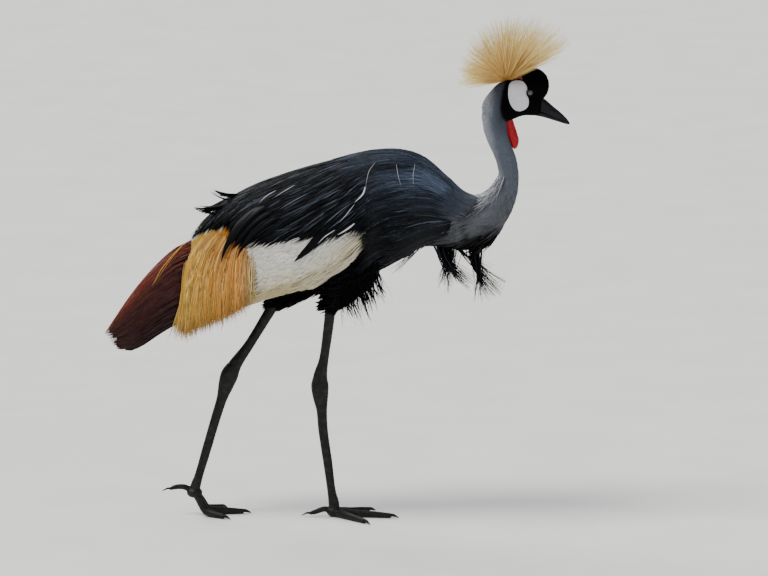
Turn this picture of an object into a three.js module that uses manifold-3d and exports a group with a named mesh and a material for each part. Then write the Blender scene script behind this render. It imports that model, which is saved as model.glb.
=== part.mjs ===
// Grey crowned crane, life size, walking, as a still museum model.
// Millimetres. +X is the way the bird faces, +Y its left, +Z up.
// The origin is on the floor, under the pad of the right foot, which carries most of the weight.
import * as THREE from "three";
import { mergeVertices } from "three/addons/utils/BufferGeometryUtils.js";
import Module from "manifold-3d";

const wasm = await Module();
wasm.setup();
const { Manifold, Mesh } = wasm;

const GAP = 0.3; // clearance between pieces that touch
const SLIVER = 0.06; // detail smaller than this is merged away after the unions
const VANE_THICK = 1.1; // middle of a flight feather
const LOCK_THICK = 1.6; // middle of a lock of loose plumes
const DEG = Math.PI / 180;

// Driving shapes of the body, as rows of [x, top, edge or bottom, half width], tail end first.
// The cloak is the outside of back and folded wings, down to the wing's lower edge.
const CLOAK = [
  [-262, 444, 326, 48],
  [-235, 474, 328, 57],
  [-205, 505, 336, 66],
  [-170, 534, 346, 74],
  [-130, 556, 360, 82],
  [-90, 571, 370, 90],
  [-50, 584, 380, 95],
  [-10, 595, 402, 98],
  [30, 606, 430, 100],
  [70, 614, 458, 97],
  [110, 615, 470, 91],
  [150, 602, 482, 78],
  [185, 573, 478, 64],
  [215, 545, 468, 52],
  [248, 534, 464, 41],
];
// The torso is the body under the folded wings, open to view at the breast and belly.
const TORSO = [
  [-215, 492, 466, 8],
  [-190, 508, 438, 24],
  [-150, 537, 412, 45],
  [-100, 556, 396, 62],
  [-50, 570, 389, 76],
  [0, 583, 391, 83],
  [45, 595, 399, 86],
  [85, 601, 415, 83],
  [120, 599, 434, 76],
  [150, 588, 449, 67],
  [185, 563, 450, 57],
  [215, 540, 446, 48],
  [248, 531, 444, 40],
];
// The head without its cap: [x, top, bottom, half width].
const SKULL = [
  [245, 690, 672, 7],
  [250, 701, 663, 12.5],
  [259, 713, 658, 16],
  [270, 724, 657, 18.5],
  [282, 731, 659, 20],
  [296, 735, 664, 20.5],
  [312, 735, 670, 20],
  [328, 726, 670, 17],
  [336, 716, 670, 13],
  [343, 706, 670, 9.5],
];
// The closed bill, split along the mouth line: [x, top, bottom, half width].
const BILL = [
  [326, 708, 669, 9],
  [345, 700, 667.5, 8.2],
  [361, 686.5, 663, 6.4],
  [377, 672.8, 658.6, 4],
  [386, 662.8, 656.4, 2],
  [389, 659, 656.4, 0.9],
];
const MOUTH = { at: [331.7, 679.7], normal: [-0.367, -0.93] };
// The drooping rear of the folded wings: [x, top, lower edge, half width].
const BUSTLE = [
  [-374, 311, 297, 12],
  [-362, 329, 285, 20],
  [-340, 362, 283, 31],
  [-315, 395, 294, 40],
  [-285, 428, 314, 46],
  [-258, 451, 327, 46],
  [-235, 462, 331, 46],
  [-205, 486, 338, 49],
];
// The neck from the head down: [x, z, half depth, half width].
const NECK = [
  [274, 698, 24, 16],
  [268, 676, 25, 18],
  [266, 655, 21.5, 16.8],
  [270, 636, 19.5, 16],
  [278, 615, 18, 15.5],
  [285, 596, 18, 15.5],
  [288.5, 572, 18, 16.5],
  [285, 551, 20.5, 19],
  [276, 532, 25, 24],
  [262, 515, 31, 31],
  [247, 500, 38, 38],
  [230, 490, 43, 44],
];
const HEAD_CUT = { at: [272, 664], normal: [-0.12, -0.993] };
const NECK_CUT = { at: [284, 598], normal: [0.22, -0.975] };
const BREAST_CUT = { at: [243, 490], normal: [-0.99, -0.14] };

const CAP = { at: [329, 721], radii: [28, 16.5, 31] };
const EYE = { at: [322, 15.2, 711.2], radius: 5.6 };
const LID = { radius: 5.4, thick: 1.7, stretch: 1.12 };
const NOSTRIL = { at: [361, 681], length: 9, height: 2.6, depth: 2.2 };
const CREST_ROOT = { at: [285, 733], radii: [13, 9.5, 6.5] };
const CREST = { count: 80, thick: 1.3, lean: 38 };
const CHEEK = { proud: 1.5 };
// The wattle from the throat down: [x, z, half depth, half width].
const WATTLE = [
  [290, 661, 6.5, 6],
  [293, 646, 7.2, 6.5],
  [297, 631, 7.4, 6],
  [298.5, 616, 2.6, 2.2],
];

const THIGH_END = 14; // how far the end of the thigh lies outside the foot
// Bare leg sections are [x, z, half depth, half width], from the feathered thigh to the foot.
const LEGS = {
  right: {
    y: -2,
    hip: -44,
    yaw: -8,
    thigh: [
      [44, 470, 46, 30],
      [34, 430, 44, 30],
      [20, 396, 30, 24],
      [4, 372, 18, 15],
      [-3, 352, 10, 9],
    ],
    shank: [
      [-3, 351.5, 9, 7.5],
      [-9, 310, 8.2, 6.5],
      [-16, 262, 8.2, 6.5],
      [-21, 238, 11.5, 8.5],
      [-22, 221, 14.5, 10],
    ],
    tarsus: [
      [-22, 221, 14.5, 10],
      [-21, 203, 13, 9],
      [-19, 180, 9, 7],
      [-17, 148, 8, 6.2],
      [-9, 90, 7.6, 6],
      [-2.5, 40, 7.2, 6.2],
      [1, 20, 9, 8.5],
      [1.5, 9, 8.5, 8],
    ],
  },
  left: {
    y: 8,
    hip: 44,
    yaw: 8,
    thigh: [
      [40, 460, 44, 30],
      [4, 424, 38, 28],
      [-36, 396, 27, 22],
      [-72, 372, 19, 16],
      [-97, 357, 14, 12],
    ],
    shank: [
      [-97, 356.5, 10, 8],
      [-115, 325, 8.4, 6.6],
      [-140, 285, 8.2, 6.5],
      [-162, 254, 11, 8.5],
      [-171, 238, 14.5, 10],
    ],
    tarsus: [
      [-171, 238, 14.5, 10],
      [-177, 221, 13, 9],
      [-184, 198, 9, 7],
      [-194, 166, 8, 6.2],
      [-211, 108, 7.6, 6],
      [-224, 64, 7.2, 6.2],
      [-229, 48, 8.5, 8],
      [-230.5, 39, 8, 7.5],
    ],
  },
};
// Toes: direction from the middle toe in degrees, turned outwards, and length to the claw.
const TOES = {
  middle: { turn: 0, length: 95 },
  outer: { turn: 40, length: 76 },
  inner: { turn: -40, length: 68 },
  hallux: { turn: 172, length: 32 },
};
const TOE = { root: 6.4, end: 3.9, sides: 8 };
const CLAW = { length: 13, root: 3.4 };

// Feathers laid on the surfaces. Lift is the height over the surface at root, third and tip.
const MANTLE = {
  rows: [0.12, 0.36, 0.6, 0.84],
  from: 212,
  pitch: 52,
  count: 3,
  length: 96,
  wide: 7,
  lift: [-5, -1, 0.6],
};
const SCAPULARS = {
  rows: [0.1, 0.3, 0.5],
  from: 34,
  pitch: 60,
  count: 3,
  length: 106,
  wide: 11,
  lift: [-9.5, -5.6, -4],
};
const COVERTS = {
  rows: [0.76, 0.9],
  from: 42,
  pitch: 40,
  count: 4,
  length: 66,
  wide: 12,
  lift: [-12, -8.8, -7.4],
};
const GOLDEN = { count: 11, length: 128, wide: 7, lift: [-5, 0.5, 3] };
const CHESTNUT = { rows: [0.12, 0.38, 0.64], length: 128, wide: 14, lift: [-3, -0.2, 0.4] };
const BLACK_TIPS = { rows: [0.8, 0.92], length: 124, wide: 7, lift: [-5, -3.6, -3.6] };
const BREAST = { front: 12, under: 7, length: 98, wide: 5.5 };
const TUFT = { count: 6, length: 44, wide: 4.5 };

let seed = 7;
// A repeatable draw from -1 to 1.
function draw() {
  seed = (seed * 16807) % 2147483647;
  return (2 * seed) / 2147483647 - 1;
}

// A smooth function through the rows' first column and the named one.
function through(rows, column) {
  const last = rows.length - 1;
  const rise = (i) =>
    (rows[i + 1][column] - rows[i][column]) / (rows[i + 1][0] - rows[i][0]);
  const slope = (i) =>
    i === 0 ? rise(0) : i === last ? rise(last - 1) : (rise(i - 1) + rise(i)) / 2;
  return (x) => {
    let i = 0;
    while (i < last - 1 && x > rows[i + 1][0]) i++;
    const span = rows[i + 1][0] - rows[i][0];
    const u = (x - rows[i][0]) / span;
    const keep = 1 - u;
    return (
      keep * keep * (1 + 2 * u) * rows[i][column] +
      u * u * (3 - 2 * u) * rows[i + 1][column] +
      u * keep * keep * span * slope(i) -
      u * u * keep * span * slope(i + 1)
    );
  };
}

// A surface with sections across x. t is 0 at the ridge and 1 at the lower edge, sweep degrees round.
function sectioned(rows, sweep) {
  const [top, edge, half] = [1, 2, 3].map((column) => through(rows, column));
  const drop = 1 - Math.cos(sweep * DEG);
  const at = (x, t, lift = 0) => {
    const height = (top(x) - edge(x)) / drop;
    const turn = t * sweep * DEG;
    const point = new THREE.Vector3(
      x,
      half(x) * Math.sin(turn),
      top(x) - height + height * Math.cos(turn),
    );
    return lift ? point.addScaledVector(frame(x, t).up, lift) : point;
  };
  const frame = (x, t) => {
    const back = at(x - 1, t).sub(at(x + 1, t));
    const down = at(x, t + 0.01).sub(at(x, t - 0.01));
    const perX = back.length() / 2;
    const perT = down.length() / 0.02;
    back.normalize();
    down.normalize();
    return { back, down, perX, perT, up: new THREE.Vector3().crossVectors(down, back) };
  };
  return { at, frame };
}

const cloak = sectioned(CLOAK, 125);

// The lower edge of the black back, as t, which narrows to the rear.
const backEdge = (x) => (x > -137 ? 0.66 : 0.66 - (-137 - x) * 0.0048);

// A closed solid from a geometry, whichever way its faces turn.
function solid(geometry) {
  const bare = geometry.clone();
  bare.deleteAttribute("normal");
  bare.deleteAttribute("uv");
  const merged = mergeVertices(bare, 1e-4);
  const vertProperties = merged.attributes.position.array;
  const triVerts = new Uint32Array(merged.index.array);
  const make = () => new Manifold(new Mesh({ numProp: 3, vertProperties, triVerts }));
  const made = make();
  if (made.volume() > 0) return made;
  for (let i = 0; i < triVerts.length; i += 3) {
    [triVerts[i + 1], triVerts[i + 2]] = [triVerts[i + 2], triVerts[i + 1]];
  }
  return make();
}

function geometryOf(points, faces) {
  return new THREE.BufferGeometry()
    .setAttribute(
      "position",
      new THREE.Float32BufferAttribute(points.flatMap((p) => [p.x, p.y, p.z]), 3),
    )
    .setIndex(faces);
}

// Rings of equal size joined in order, with a fan to a middle point at both ends.
function lofted(rings) {
  const sides = rings[0].length;
  const points = rings.flat();
  const faces = [];
  for (let r = 0; r + 1 < rings.length; r++) {
    for (let s = 0; s < sides; s++) {
      const a = r * sides + s;
      const b = r * sides + ((s + 1) % sides);
      faces.push(a, b, b + sides, a, b + sides, a + sides);
    }
  }
  for (const [r, turned] of [[0, true], [rings.length - 1, false]]) {
    const middle = new THREE.Vector3();
    rings[r].forEach((p) => middle.addScaledVector(p, 1 / sides));
    const m = points.push(middle) - 1;
    for (let s = 0; s < sides; s++) {
      const a = r * sides + s;
      const b = r * sides + ((s + 1) % sides);
      faces.push(...(turned ? [b, a, m] : [a, b, m]));
    }
  }
  return solid(geometryOf(points, faces));
}

// A body of ellipses across x, from rows of [x, top, bottom, half width].
function bodyOf(rows, stations, sides, grow = 0) {
  const surface = sectioned(rows, 180);
  const [from, to] = [rows[0][0], rows[rows.length - 1][0]];
  const rings = [];
  for (let i = 0; i <= stations; i++) {
    const x = from + ((to - from) * i) / stations;
    const ring = [];
    for (let s = 0; s < sides; s++) {
      const turn = (2 * Math.PI * (s + 0.5)) / sides;
      const p = surface.at(x, turn / Math.PI);
      const middle = (surface.at(x, 0).z + surface.at(x, 1).z) / 2;
      const out = new THREE.Vector3(0, p.y, p.z - middle);
      out.setLength(out.length() + grow);
      ring.push(new THREE.Vector3(x + (i === 0 ? -grow : i === stations ? grow : 0), out.y, middle + out.z));
    }
    rings.push(ring);
  }
  return lofted(rings);
}

// A tube of ellipses along rows of [x, z, half depth, half width], with its middle at y(u).
function limb(rows, steps, sides, y = () => 0, grow = 0) {
  const path = new THREE.CatmullRomCurve3(
    rows.map(([x, z], i) => new THREE.Vector3(x, y(i / (rows.length - 1)), z)),
    false,
    "centripetal",
  );
  const sizes = [2, 3].map((column) => through(rows.map((row, i) => [i, 0, row[2], row[3]]), column));
  const rings = [];
  for (let k = 0; k <= steps; k++) {
    const u = k / steps;
    const middle = path.getPoint(u);
    const ahead = path.getTangent(u);
    const front = new THREE.Vector3(-ahead.z, 0, ahead.x).normalize();
    const side = new THREE.Vector3().crossVectors(ahead, front).normalize();
    const [deep, wide] = sizes.map((size) => size(u * (rows.length - 1)) + grow);
    const ring = [];
    for (let s = 0; s < sides; s++) {
      const turn = (2 * Math.PI * (s + 0.5)) / sides;
      ring.push(
        middle
          .clone()
          .addScaledVector(front, deep * Math.cos(turn))
          .addScaledVector(side, wide * Math.sin(turn)),
      );
    }
    if (grow && (k === 0 || k === steps)) {
      ring.forEach((p) => p.addScaledVector(ahead, k === 0 ? -grow : grow));
    }
    rings.push(ring);
  }
  return lofted(rings);
}

function ellipsoid([x, y, z], [a, b, c], around = 20, high = 12) {
  return solid(new THREE.SphereGeometry(1, around, high).scale(a, b, c).translate(x, y, z));
}

// A thin tapered blade: stations of {at, across, up, wide, thick} and a tip, split alike on both faces.
function blade(stations, tip) {
  const points = stations.flatMap(({ at, across, up, wide, thick }) => [
    at.clone().addScaledVector(across, -wide),
    at.clone().addScaledVector(up, thick / 2),
    at.clone().addScaledVector(across, wide),
    at.clone().addScaledVector(up, -thick / 2),
  ]);
  const faces = [0, 3, 2, 0, 2, 1];
  for (let i = 0; i + 1 < stations.length; i++) {
    const [a, b] = [4 * i, 4 * i + 4];
    for (const face of [1, 3]) {
      const near = face === 1;
      faces.push(...(near ? [a, a + face, b + face] : [a + face, a, b + face]));
      faces.push(...(near ? [a, b + face, b] : [a, b, b + face]));
      faces.push(...(near ? [a + face, a + 2, b + face] : [a + 2, a + face, b + face]));
      faces.push(...(near ? [a + 2, b + 2, b + face] : [a + 2, b + face, b + 2]));
    }
  }
  const end = points.push(tip) - 1;
  for (let s = 0; s < 4; s++) {
    faces.push(end - 4 + s, end - 4 + ((s + 1) % 4), end);
  }
  return solid(geometryOf(points, faces));
}

// A feather or lock that walks over a surface from x, t. Heading is degrees below straight back, and
// turns by bend along the way. Lift is the height over the surface at the root, at a third and at the tip.
function lay(surface, feather) {
  const { x, t, heading, bend = 0, length, wide, lift } = feather;
  const { thick = VANE_THICK, tilt = 0, steps = 4 } = feather;
  const stations = [];
  let [atX, atT] = [x, t];
  for (let i = 0; i <= steps; i++) {
    const u = i / steps;
    const turn = (heading + bend * u) * DEG;
    const { back, down, perX, perT, up } = surface.frame(atX, atT);
    const height =
      u < 1 / 3
        ? lift[0] + (lift[1] - lift[0]) * Math.sin(u * 1.5 * Math.PI)
        : lift[1] + (lift[2] - lift[1]) * (u - 1 / 3) * 1.5;
    const across = down
      .clone()
      .multiplyScalar(Math.cos(turn))
      .addScaledVector(back, -Math.sin(turn))
      .addScaledVector(up, tilt)
      .normalize();
    stations.push({
      at: surface.at(atX, atT).addScaledVector(up, height),
      across,
      up,
      wide: wide * (0.5 + 1.5 * Math.sqrt(u) - 1.35 * u * u) * 0.8,
      thick: thick * (1.15 - 0.6 * u),
    });
    const step = length / steps;
    atX -= (step * Math.cos(turn)) / perX;
    atT += (step * Math.sin(turn)) / perT;
  }
  const tip = stations.pop().at;
  return blade(stations, tip);
}

// A loose lock from a point, straight at first and then bending: direction and sag are unit vectors.
function hang({ from, along, sag, droop, length, wide, thick = LOCK_THICK, across, steps = 4 }) {
  const stations = [];
  for (let i = 0; i <= steps; i++) {
    const u = i / steps;
    const at = from
      .clone()
      .addScaledVector(along, length * u)
      .addScaledVector(sag, droop * u * u);
    const ahead = along.clone().multiplyScalar(length).addScaledVector(sag, 2 * droop * u).normalize();
    const side = across.clone().addScaledVector(ahead, -across.dot(ahead)).normalize();
    const up = new THREE.Vector3().crossVectors(side, ahead);
    stations.push({
      at,
      across: side,
      up,
      wide: wide * (0.75 + 0.9 * u - 1.3 * u * u),
      thick: thick * (1 - 0.6 * u),
    });
  }
  const tip = stations.pop().at;
  return blade(stations, tip);
}

// A fine three-sided spine from a point, bending by droop along sag.
function spine({ from, along, sag, droop, length, radius }) {
  const side = new THREE.Vector3().crossVectors(along, new THREE.Vector3(0.3, 1, 0.2)).normalize();
  const other = new THREE.Vector3().crossVectors(along, side);
  const at = (u) => from.clone().addScaledVector(along, length * u).addScaledVector(sag, droop * u * u);
  const points = [];
  for (const [u, size] of [[0, 1], [0.45, 0.85], [0.8, 0.6]]) {
    for (let s = 0; s < 3; s++) {
      const turn = (2 * Math.PI * s) / 3;
      const reach = radius * size;
      points.push(
        at(u)
          .addScaledVector(side, reach * Math.cos(turn))
          .addScaledVector(other, reach * Math.sin(turn)),
      );
    }
  }
  const tip = points.push(at(1)) - 1;
  const faces = [0, 2, 1];
  for (let a = 0; a < 6; a += 3) {
    for (let s = 0; s < 3; s++) {
      const b = (s + 1) % 3;
      faces.push(a + s, a + b, a + b + 3, a + s, a + b + 3, a + s + 3);
    }
  }
  for (let s = 0; s < 3; s++) faces.push(6 + s, 6 + ((s + 1) % 3), tip);
  return solid(geometryOf(points, faces));
}

// Tiers of feathers on one side of a surface: for each row of t, count feathers from front to rear.
function tiers(surface, kind, headingAt, keep = () => true) {
  const { rows, from, pitch, count, length, wide, lift, thick } = kind;
  const feathers = [];
  rows.forEach((t, r) => {
    for (let i = 0; i < count; i++) {
      const x = from - pitch * (i + (r % 2) * 0.5) + draw() * pitch * 0.08;
      if (!keep(x, t)) continue;
      const grade = 0.5 * (1 - r / rows.length);
      feathers.push(
        lay(surface, {
          x,
          t,
          ...headingAt(x, t),
          length: length * (1 + 0.08 * draw()),
          wide,
          lift: lift.map((value) => value + grade),
          thick,
          tilt: 0.05,
        }),
      );
    }
  });
  return feathers;
}

const bothSides = (made) => made.flatMap((one) => [one, one.mirror([0, 1, 0])]);

// A plate on a surface between two x and two t, from lift low to lift high.
function plate(surface, [x0, x1], [t0, t1], [low, high], columns = 10, rows = 5) {
  const limits = [t0, t1].map((t) => (typeof t === "function" ? t : () => t));
  const point = (i, j, lift) => {
    const x = x0 + ((x1 - x0) * i) / columns;
    const t = limits[0](x) + ((limits[1](x) - limits[0](x)) * j) / rows;
    return surface.at(x, t, lift);
  };
  const points = [];
  for (const lift of [low, high]) {
    for (let i = 0; i <= columns; i++) {
      for (let j = 0; j <= rows; j++) points.push(point(i, j, lift));
    }
  }
  const index = (i, j, layer) => (layer * (columns + 1) + i) * (rows + 1) + j;
  const faces = [];
  const quad = (a, b, c, d) => faces.push(a, b, c, a, c, d);
  for (let i = 0; i < columns; i++) {
    for (let j = 0; j < rows; j++) {
      quad(index(i, j, 1), index(i + 1, j, 1), index(i + 1, j + 1, 1), index(i, j + 1, 1));
      faces.push(index(i, j, 0), index(i + 1, j + 1, 0), index(i + 1, j, 0));
      faces.push(index(i, j, 0), index(i, j + 1, 0), index(i + 1, j + 1, 0));
    }
    quad(index(i, 0, 0), index(i + 1, 0, 0), index(i + 1, 0, 1), index(i, 0, 1));
    quad(index(i, rows, 1), index(i + 1, rows, 1), index(i + 1, rows, 0), index(i, rows, 0));
  }
  for (let j = 0; j < rows; j++) {
    quad(index(0, j, 1), index(0, j + 1, 1), index(0, j + 1, 0), index(0, j, 0));
    quad(index(columns, j, 0), index(columns, j + 1, 0), index(columns, j + 1, 1), index(columns, j, 1));
  }
  return solid(geometryOf(points, faces));
}

// The part of a solid ahead of a cut in the bird's own upright plane, or behind it.
function cutAt(made, { at, normal }, ahead) {
  const sign = ahead ? 1 : -1;
  const offset = sign * (normal[0] * at[0] + normal[1] * at[1]) + GAP / 2;
  return made.trimByPlane([sign * normal[0], 0, sign * normal[1]], offset);
}

// The largest closed body of a solid, which drops scraps and fills sealed hollows.
function whole(made) {
  return made.decompose().reduce((a, b) => (b.volume() > a.volume() ? b : a));
}

function fused(pieces) {
  return whole(Manifold.union(pieces));
}

// A cutter a little larger than a solid all round, made of moved copies.
function around(made) {
  const steps = [-GAP, GAP].flatMap((d) => [[d, 0, 0], [0, d, 0], [0, 0, d]]);
  return Manifold.union(steps.map((step) => made.translate(step)));
}

const crane = new THREE.Group();

function place(name, made, colour, roughness = 0.7) {
  const body = whole(whole(made).simplify(SLIVER));
  const { vertProperties, triVerts, numProp } = body.getMesh();
  const points = [];
  for (let i = 0; i < vertProperties.length; i += numProp) {
    points.push(new THREE.Vector3(...vertProperties.subarray(i, i + 3)));
  }
  const material = new THREE.MeshStandardMaterial({ color: colour, roughness, metalness: 0 });
  const mesh = new THREE.Mesh(geometryOf(points, [...triVerts]), material);
  mesh.name = name;
  crane.add(mesh);
}

const COLOURS = {
  slate: 0x474d57,
  neck: 0x767c85,
  black: 0x14151a,
  skin: 0xd6d4d2,
  white: 0xd9d8cf,
  gold: 0xd9b36a,
  chestnut: 0x5a2a22,
  red: 0xb3161c,
  eye: 0xb9c6cf,
  leg: 0x2b2a2c,
};

const bustle = sectioned(BUSTLE, 125);
const torsoSurface = sectioned(TORSO, 180);
const mirrored = (made) => made.mirror([0, 1, 0]);
const sides = [["left", 1], ["right", -1]];

// Head, with the velvet cap and the lids fused on
const eyeAt = (sign) => [EYE.at[0], sign * EYE.at[1], EYE.at[2]];

function lid(sign, grow) {
  const ring = new THREE.TorusGeometry(LID.radius, LID.thick / 2 + grow, 5, 14)
    .scale(LID.stretch, 1, 1)
    .rotateX(90 * DEG)
    .rotateZ(sign * 12 * DEG)
    .translate(EYE.at[0], sign * (EYE.at[1] + 2.6), EYE.at[2]);
  return solid(ring);
}

function headShape(grow) {
  const [a, b, c] = CAP.radii;
  return fused([
    bodyOf(SKULL, 10, 14, grow),
    ellipsoid([CAP.at[0], 0, CAP.at[1]], [a + grow, b + grow, c + grow], 16, 8),
    lid(1, grow),
    lid(-1, grow),
  ]);
}

const headGrown = headShape(GAP);
const eyes = sides.map(([, sign]) => ellipsoid(eyeAt(sign), Array(3).fill(EYE.radius), 12, 8));
const sockets = sides.map(([, sign]) => ellipsoid(eyeAt(sign), Array(3).fill(EYE.radius + GAP), 12, 8));
const head = cutAt(headShape(0), HEAD_CUT, false).subtract(Manifold.union(sockets));
place("head", head, COLOURS.black);
sides.forEach(([side], i) => place(`eye_${side}`, eyes[i], COLOURS.eye, 0.2));

// Cheek patches, a thin raised plate with the outline of the bare skin
const CHEEK_OUTLINE = [
  [303, 729],
  [315, 721],
  [313.5, 710],
  [317, 700],
  [321, 690],
  [311, 678],
  [298, 680],
  [290, 690],
  [286.5, 706],
  [289, 720],
  [295, 728],
];

const cheekShape = new THREE.Shape(new THREE.SplineCurve(
  [...CHEEK_OUTLINE, CHEEK_OUTLINE[0]].map(([x, z]) => new THREE.Vector2(x, z)),
).getPoints(22).slice(0, -1));
for (const [side, sign] of sides) {
  const cutter = solid(
    new THREE.ExtrudeGeometry(cheekShape, { depth: 40, bevelEnabled: false })
      .rotateX(90 * DEG)
      .translate(0, sign > 0 ? 40 : 0, 0),
  );
  const patch = bodyOf(SKULL, 10, 14, CHEEK.proud).intersect(cutter).subtract(headGrown);
  place(`cheek_${side}`, patch, COLOURS.skin);
}

// Bill, split along the mouth line, with the nostrils cut in
const nostrils = sides.map(([, sign]) =>
  solid(
    new THREE.SphereGeometry(1, 8, 6)
      .scale(NOSTRIL.length / 2, NOSTRIL.depth, NOSTRIL.height / 2)
      .rotateY(38 * DEG)
      .translate(NOSTRIL.at[0], sign * 6, NOSTRIL.at[1]),
  ),
);
const bill = bodyOf(BILL, 8, 12).subtract(headGrown);
place("bill_upper", cutAt(bill, MOUTH, false).subtract(Manifold.union(nostrils)), COLOURS.black, 0.4);
place("bill_lower", cutAt(bill, MOUTH, true), COLOURS.black, 0.4);

// Neck and wattle
const neckShape = (grow) => limb(NECK, 20, 16, () => 0, grow);
const neck = cutAt(neckShape(0), HEAD_CUT, true);
const upperNeck = cutAt(neck, NECK_CUT, false);
place("neck_upper", upperNeck, COLOURS.neck);
const lowerNeck = cutAt(cutAt(neck, NECK_CUT, true), BREAST_CUT, false);
place("neck_lower", lowerNeck, COLOURS.neck);

place("wattle", limb(WATTLE, 10, 12).subtract(neckShape(GAP)).subtract(headGrown), COLOURS.red, 0.5);

// Crest, a fan of fine spines on a low pad
const crestPad = ellipsoid([CREST_ROOT.at[0], 0, CREST_ROOT.at[1]], CREST_ROOT.radii, 10, 6);
const spines = [];
for (let i = 0; i < CREST.count; i++) {
  const along = (i + 0.5) / CREST.count;
  const side = ((i * 0.618034) % 1) * 2 - 1;
  const angle = (22 + 168 * along + 4 * draw()) * DEG;
  const lean = CREST.lean * side * (0.85 + 0.15 * draw()) * DEG;
  const reach = angle < 100 * DEG ? 114 : 114 - (angle / DEG - 100) * 0.48;
  const flat = Math.cos(lean);
  const way = new THREE.Vector3(Math.cos(angle) * flat, Math.sin(lean), Math.sin(angle) * flat);
  const out = new THREE.Vector3(way.x * 7, way.y * 6, way.z * 2);
  spines.push(
    spine({
      from: new THREE.Vector3(CREST_ROOT.at[0], 0, CREST_ROOT.at[1] + 1).add(out),
      along: way,
      sag: new THREE.Vector3(0, 0, -1),
      droop: 4 + 3 * Math.abs(side),
      length: reach * (0.93 + 0.07 * draw()),
      radius: CREST.thick / 2,
    }),
  );
}
place("crest", fused([crestPad, ...spines]).subtract(headGrown), COLOURS.gold);

// Torso, open to view at the breast and belly
const torsoGrown = bodyOf(TORSO, 15, 20, GAP);
const breastLocks = [];
for (let i = 0; i < BREAST.front + BREAST.under; i++) {
  const front = i < BREAST.front;
  const k = front ? i / (BREAST.front - 1) : (i - BREAST.front) / (BREAST.under - 1);
  const side = front ? 2 * k - 1 : 1.6 * k - 0.8;
  const x = (front ? 230 : 186) + 9 * draw();
  const from = torsoSurface.at(x, 1 - side * 0.16, -4);
  breastLocks.push(
    hang({
      from,
      along: new THREE.Vector3(front ? 0.62 : 0.45, side * 0.38, -1).normalize(),
      sag: new THREE.Vector3(-0.3, 0, -0.95),
      droop: 12,
      length: (front ? 1 : 0.72) * BREAST.length * (0.85 + 0.15 * draw()),
      wide: BREAST.wide,
      across: new THREE.Vector3(0.35, 1, 0.2).normalize(),
    }),
  );
}
const torso = cutAt(bodyOf(TORSO, 15, 20), BREAST_CUT, true);
place("torso", fused([torso, ...breastLocks]).subtract(neckShape(GAP)), COLOURS.black);

const thighY = (leg, sign) => (u) => leg.hip + (leg.y + sign * THIGH_END - leg.hip) * u;
const thighGrown = sides.map(([side, sign]) =>
  limb(LEGS[side].thigh, 8, 14, thighY(LEGS[side], sign), GAP),
);

// Mantle plumes over the shoulders, and long scapulars over the back
const mantlePlate = plate(cloak, [55, 234], [-0.98, 0.98], [-13, -2.5], 7, 14).subtract(torsoGrown);
const sweep = (x, t) => ({ heading: 4 + 34 * t, bend: 4 + 36 * t });
const mantlePlumes = tiers(cloak, MANTLE, sweep, (x, t) => t < 0.85 || x > 90);
const mantle = fused([mantlePlate, ...bothSides(mantlePlumes)]).subtract(neckShape(GAP));
place(
  "mantle",
  mantle.subtract(Manifold.union([torsoGrown, ...thighGrown, around(Manifold.union(breastLocks))])),
  COLOURS.slate,
);

const backPlate = plate(cloak, [-205, 54.5], [(x) => -backEdge(x), backEdge], [-14, -7], 7, 10);
const backVanes = tiers(
  cloak,
  SCAPULARS,
  (x, t) => ({ heading: 3 + 22 * t, bend: 8 }),
  (x, t) => x > -105 && t + 0.12 < backEdge(x - 95),
);
const scapulars = fused([backPlate, ...bothSides(backVanes)]).subtract(torsoGrown);
const back = scapulars.trimByPlane([-1, 0, 0], -54.5);
place("scapulars", back, COLOURS.black);

// Folded wings, built for the left and mirrored
const belowBack = (x) => backEdge(x) + 0.005;
const covertPlate = plate(cloak, [-140, 54.5], [belowBack, 0.97], [-15, -9.5], 9, 4);
const covertVanes = tiers(cloak, COVERTS, () => ({ heading: 10, bend: 6 }), (x) => x - COVERTS.length > -132);
const coverts = fused([covertPlate, ...covertVanes])
  .subtract(torsoGrown)
  .subtract(around(back))
  .trimByPlane([-1, 0, 0], -54.5);

const goldenPlate = plate(cloak, [-232, -140.5], [belowBack, 0.84], [-7.5, -3], 5, 4);
const goldenLocks = [];
for (let i = 0; i < GOLDEN.count; i++) {
  const k = i / (GOLDEN.count - 1);
  const x = -146 - 74 * k + 3 * draw();
  const low = (i % 3) * 0.1;
  goldenLocks.push(
    lay(cloak, {
      x,
      t: belowBack(x) + 0.05 + low,
      heading: 66 + 8 * draw() - 4 * k,
      bend: 6 + 6 * draw(),
      length: Math.min(GOLDEN.length, 80 + 60 * k) * (1 - low * 1.5),
      wide: GOLDEN.wide,
      lift: GOLDEN.lift.map((value, j) => value + (j ? 0.8 * draw() : 0)),
      thick: LOCK_THICK,
    }),
  );
}
const ridge = 0.015;
const chestnutPlate = plate(bustle, [-352, -212], [ridge, 0.78], [-5, -1.5], 8, 6);
const chestnutVanes = CHESTNUT.rows.flatMap((t, r) =>
  [-216, -262].map((from, j) =>
    lay(bustle, {
      x: from - 6 * (r % 2),
      t: t * 0.94 + ridge,
      heading: 1 - 2 * j,
      length: (j ? 1.12 : 1) * CHESTNUT.length,
      wide: CHESTNUT.wide * (j ? 0.8 : 1),
      lift: CHESTNUT.lift.map((value) => value - 0.8 * j),
      tilt: 0.05,
    }),
  ),
);
const chestnut = fused([chestnutPlate, ...chestnutVanes]);
const blackPlate = plate(bustle, [-340, -214], [0.8, 0.97], [-7, -3.5], 4, 2);
const blackVanes = BLACK_TIPS.rows.map((t) =>
  lay(bustle, {
    x: -244,
    t,
    heading: 0,
    length: BLACK_TIPS.length,
    wide: BLACK_TIPS.wide,
    lift: BLACK_TIPS.lift,
  }),
);
const midline = (made) => made.trimByPlane([0, 1, 0], GAP / 2);
const secondaries = midline(chestnut).subtract(torsoGrown);
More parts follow.
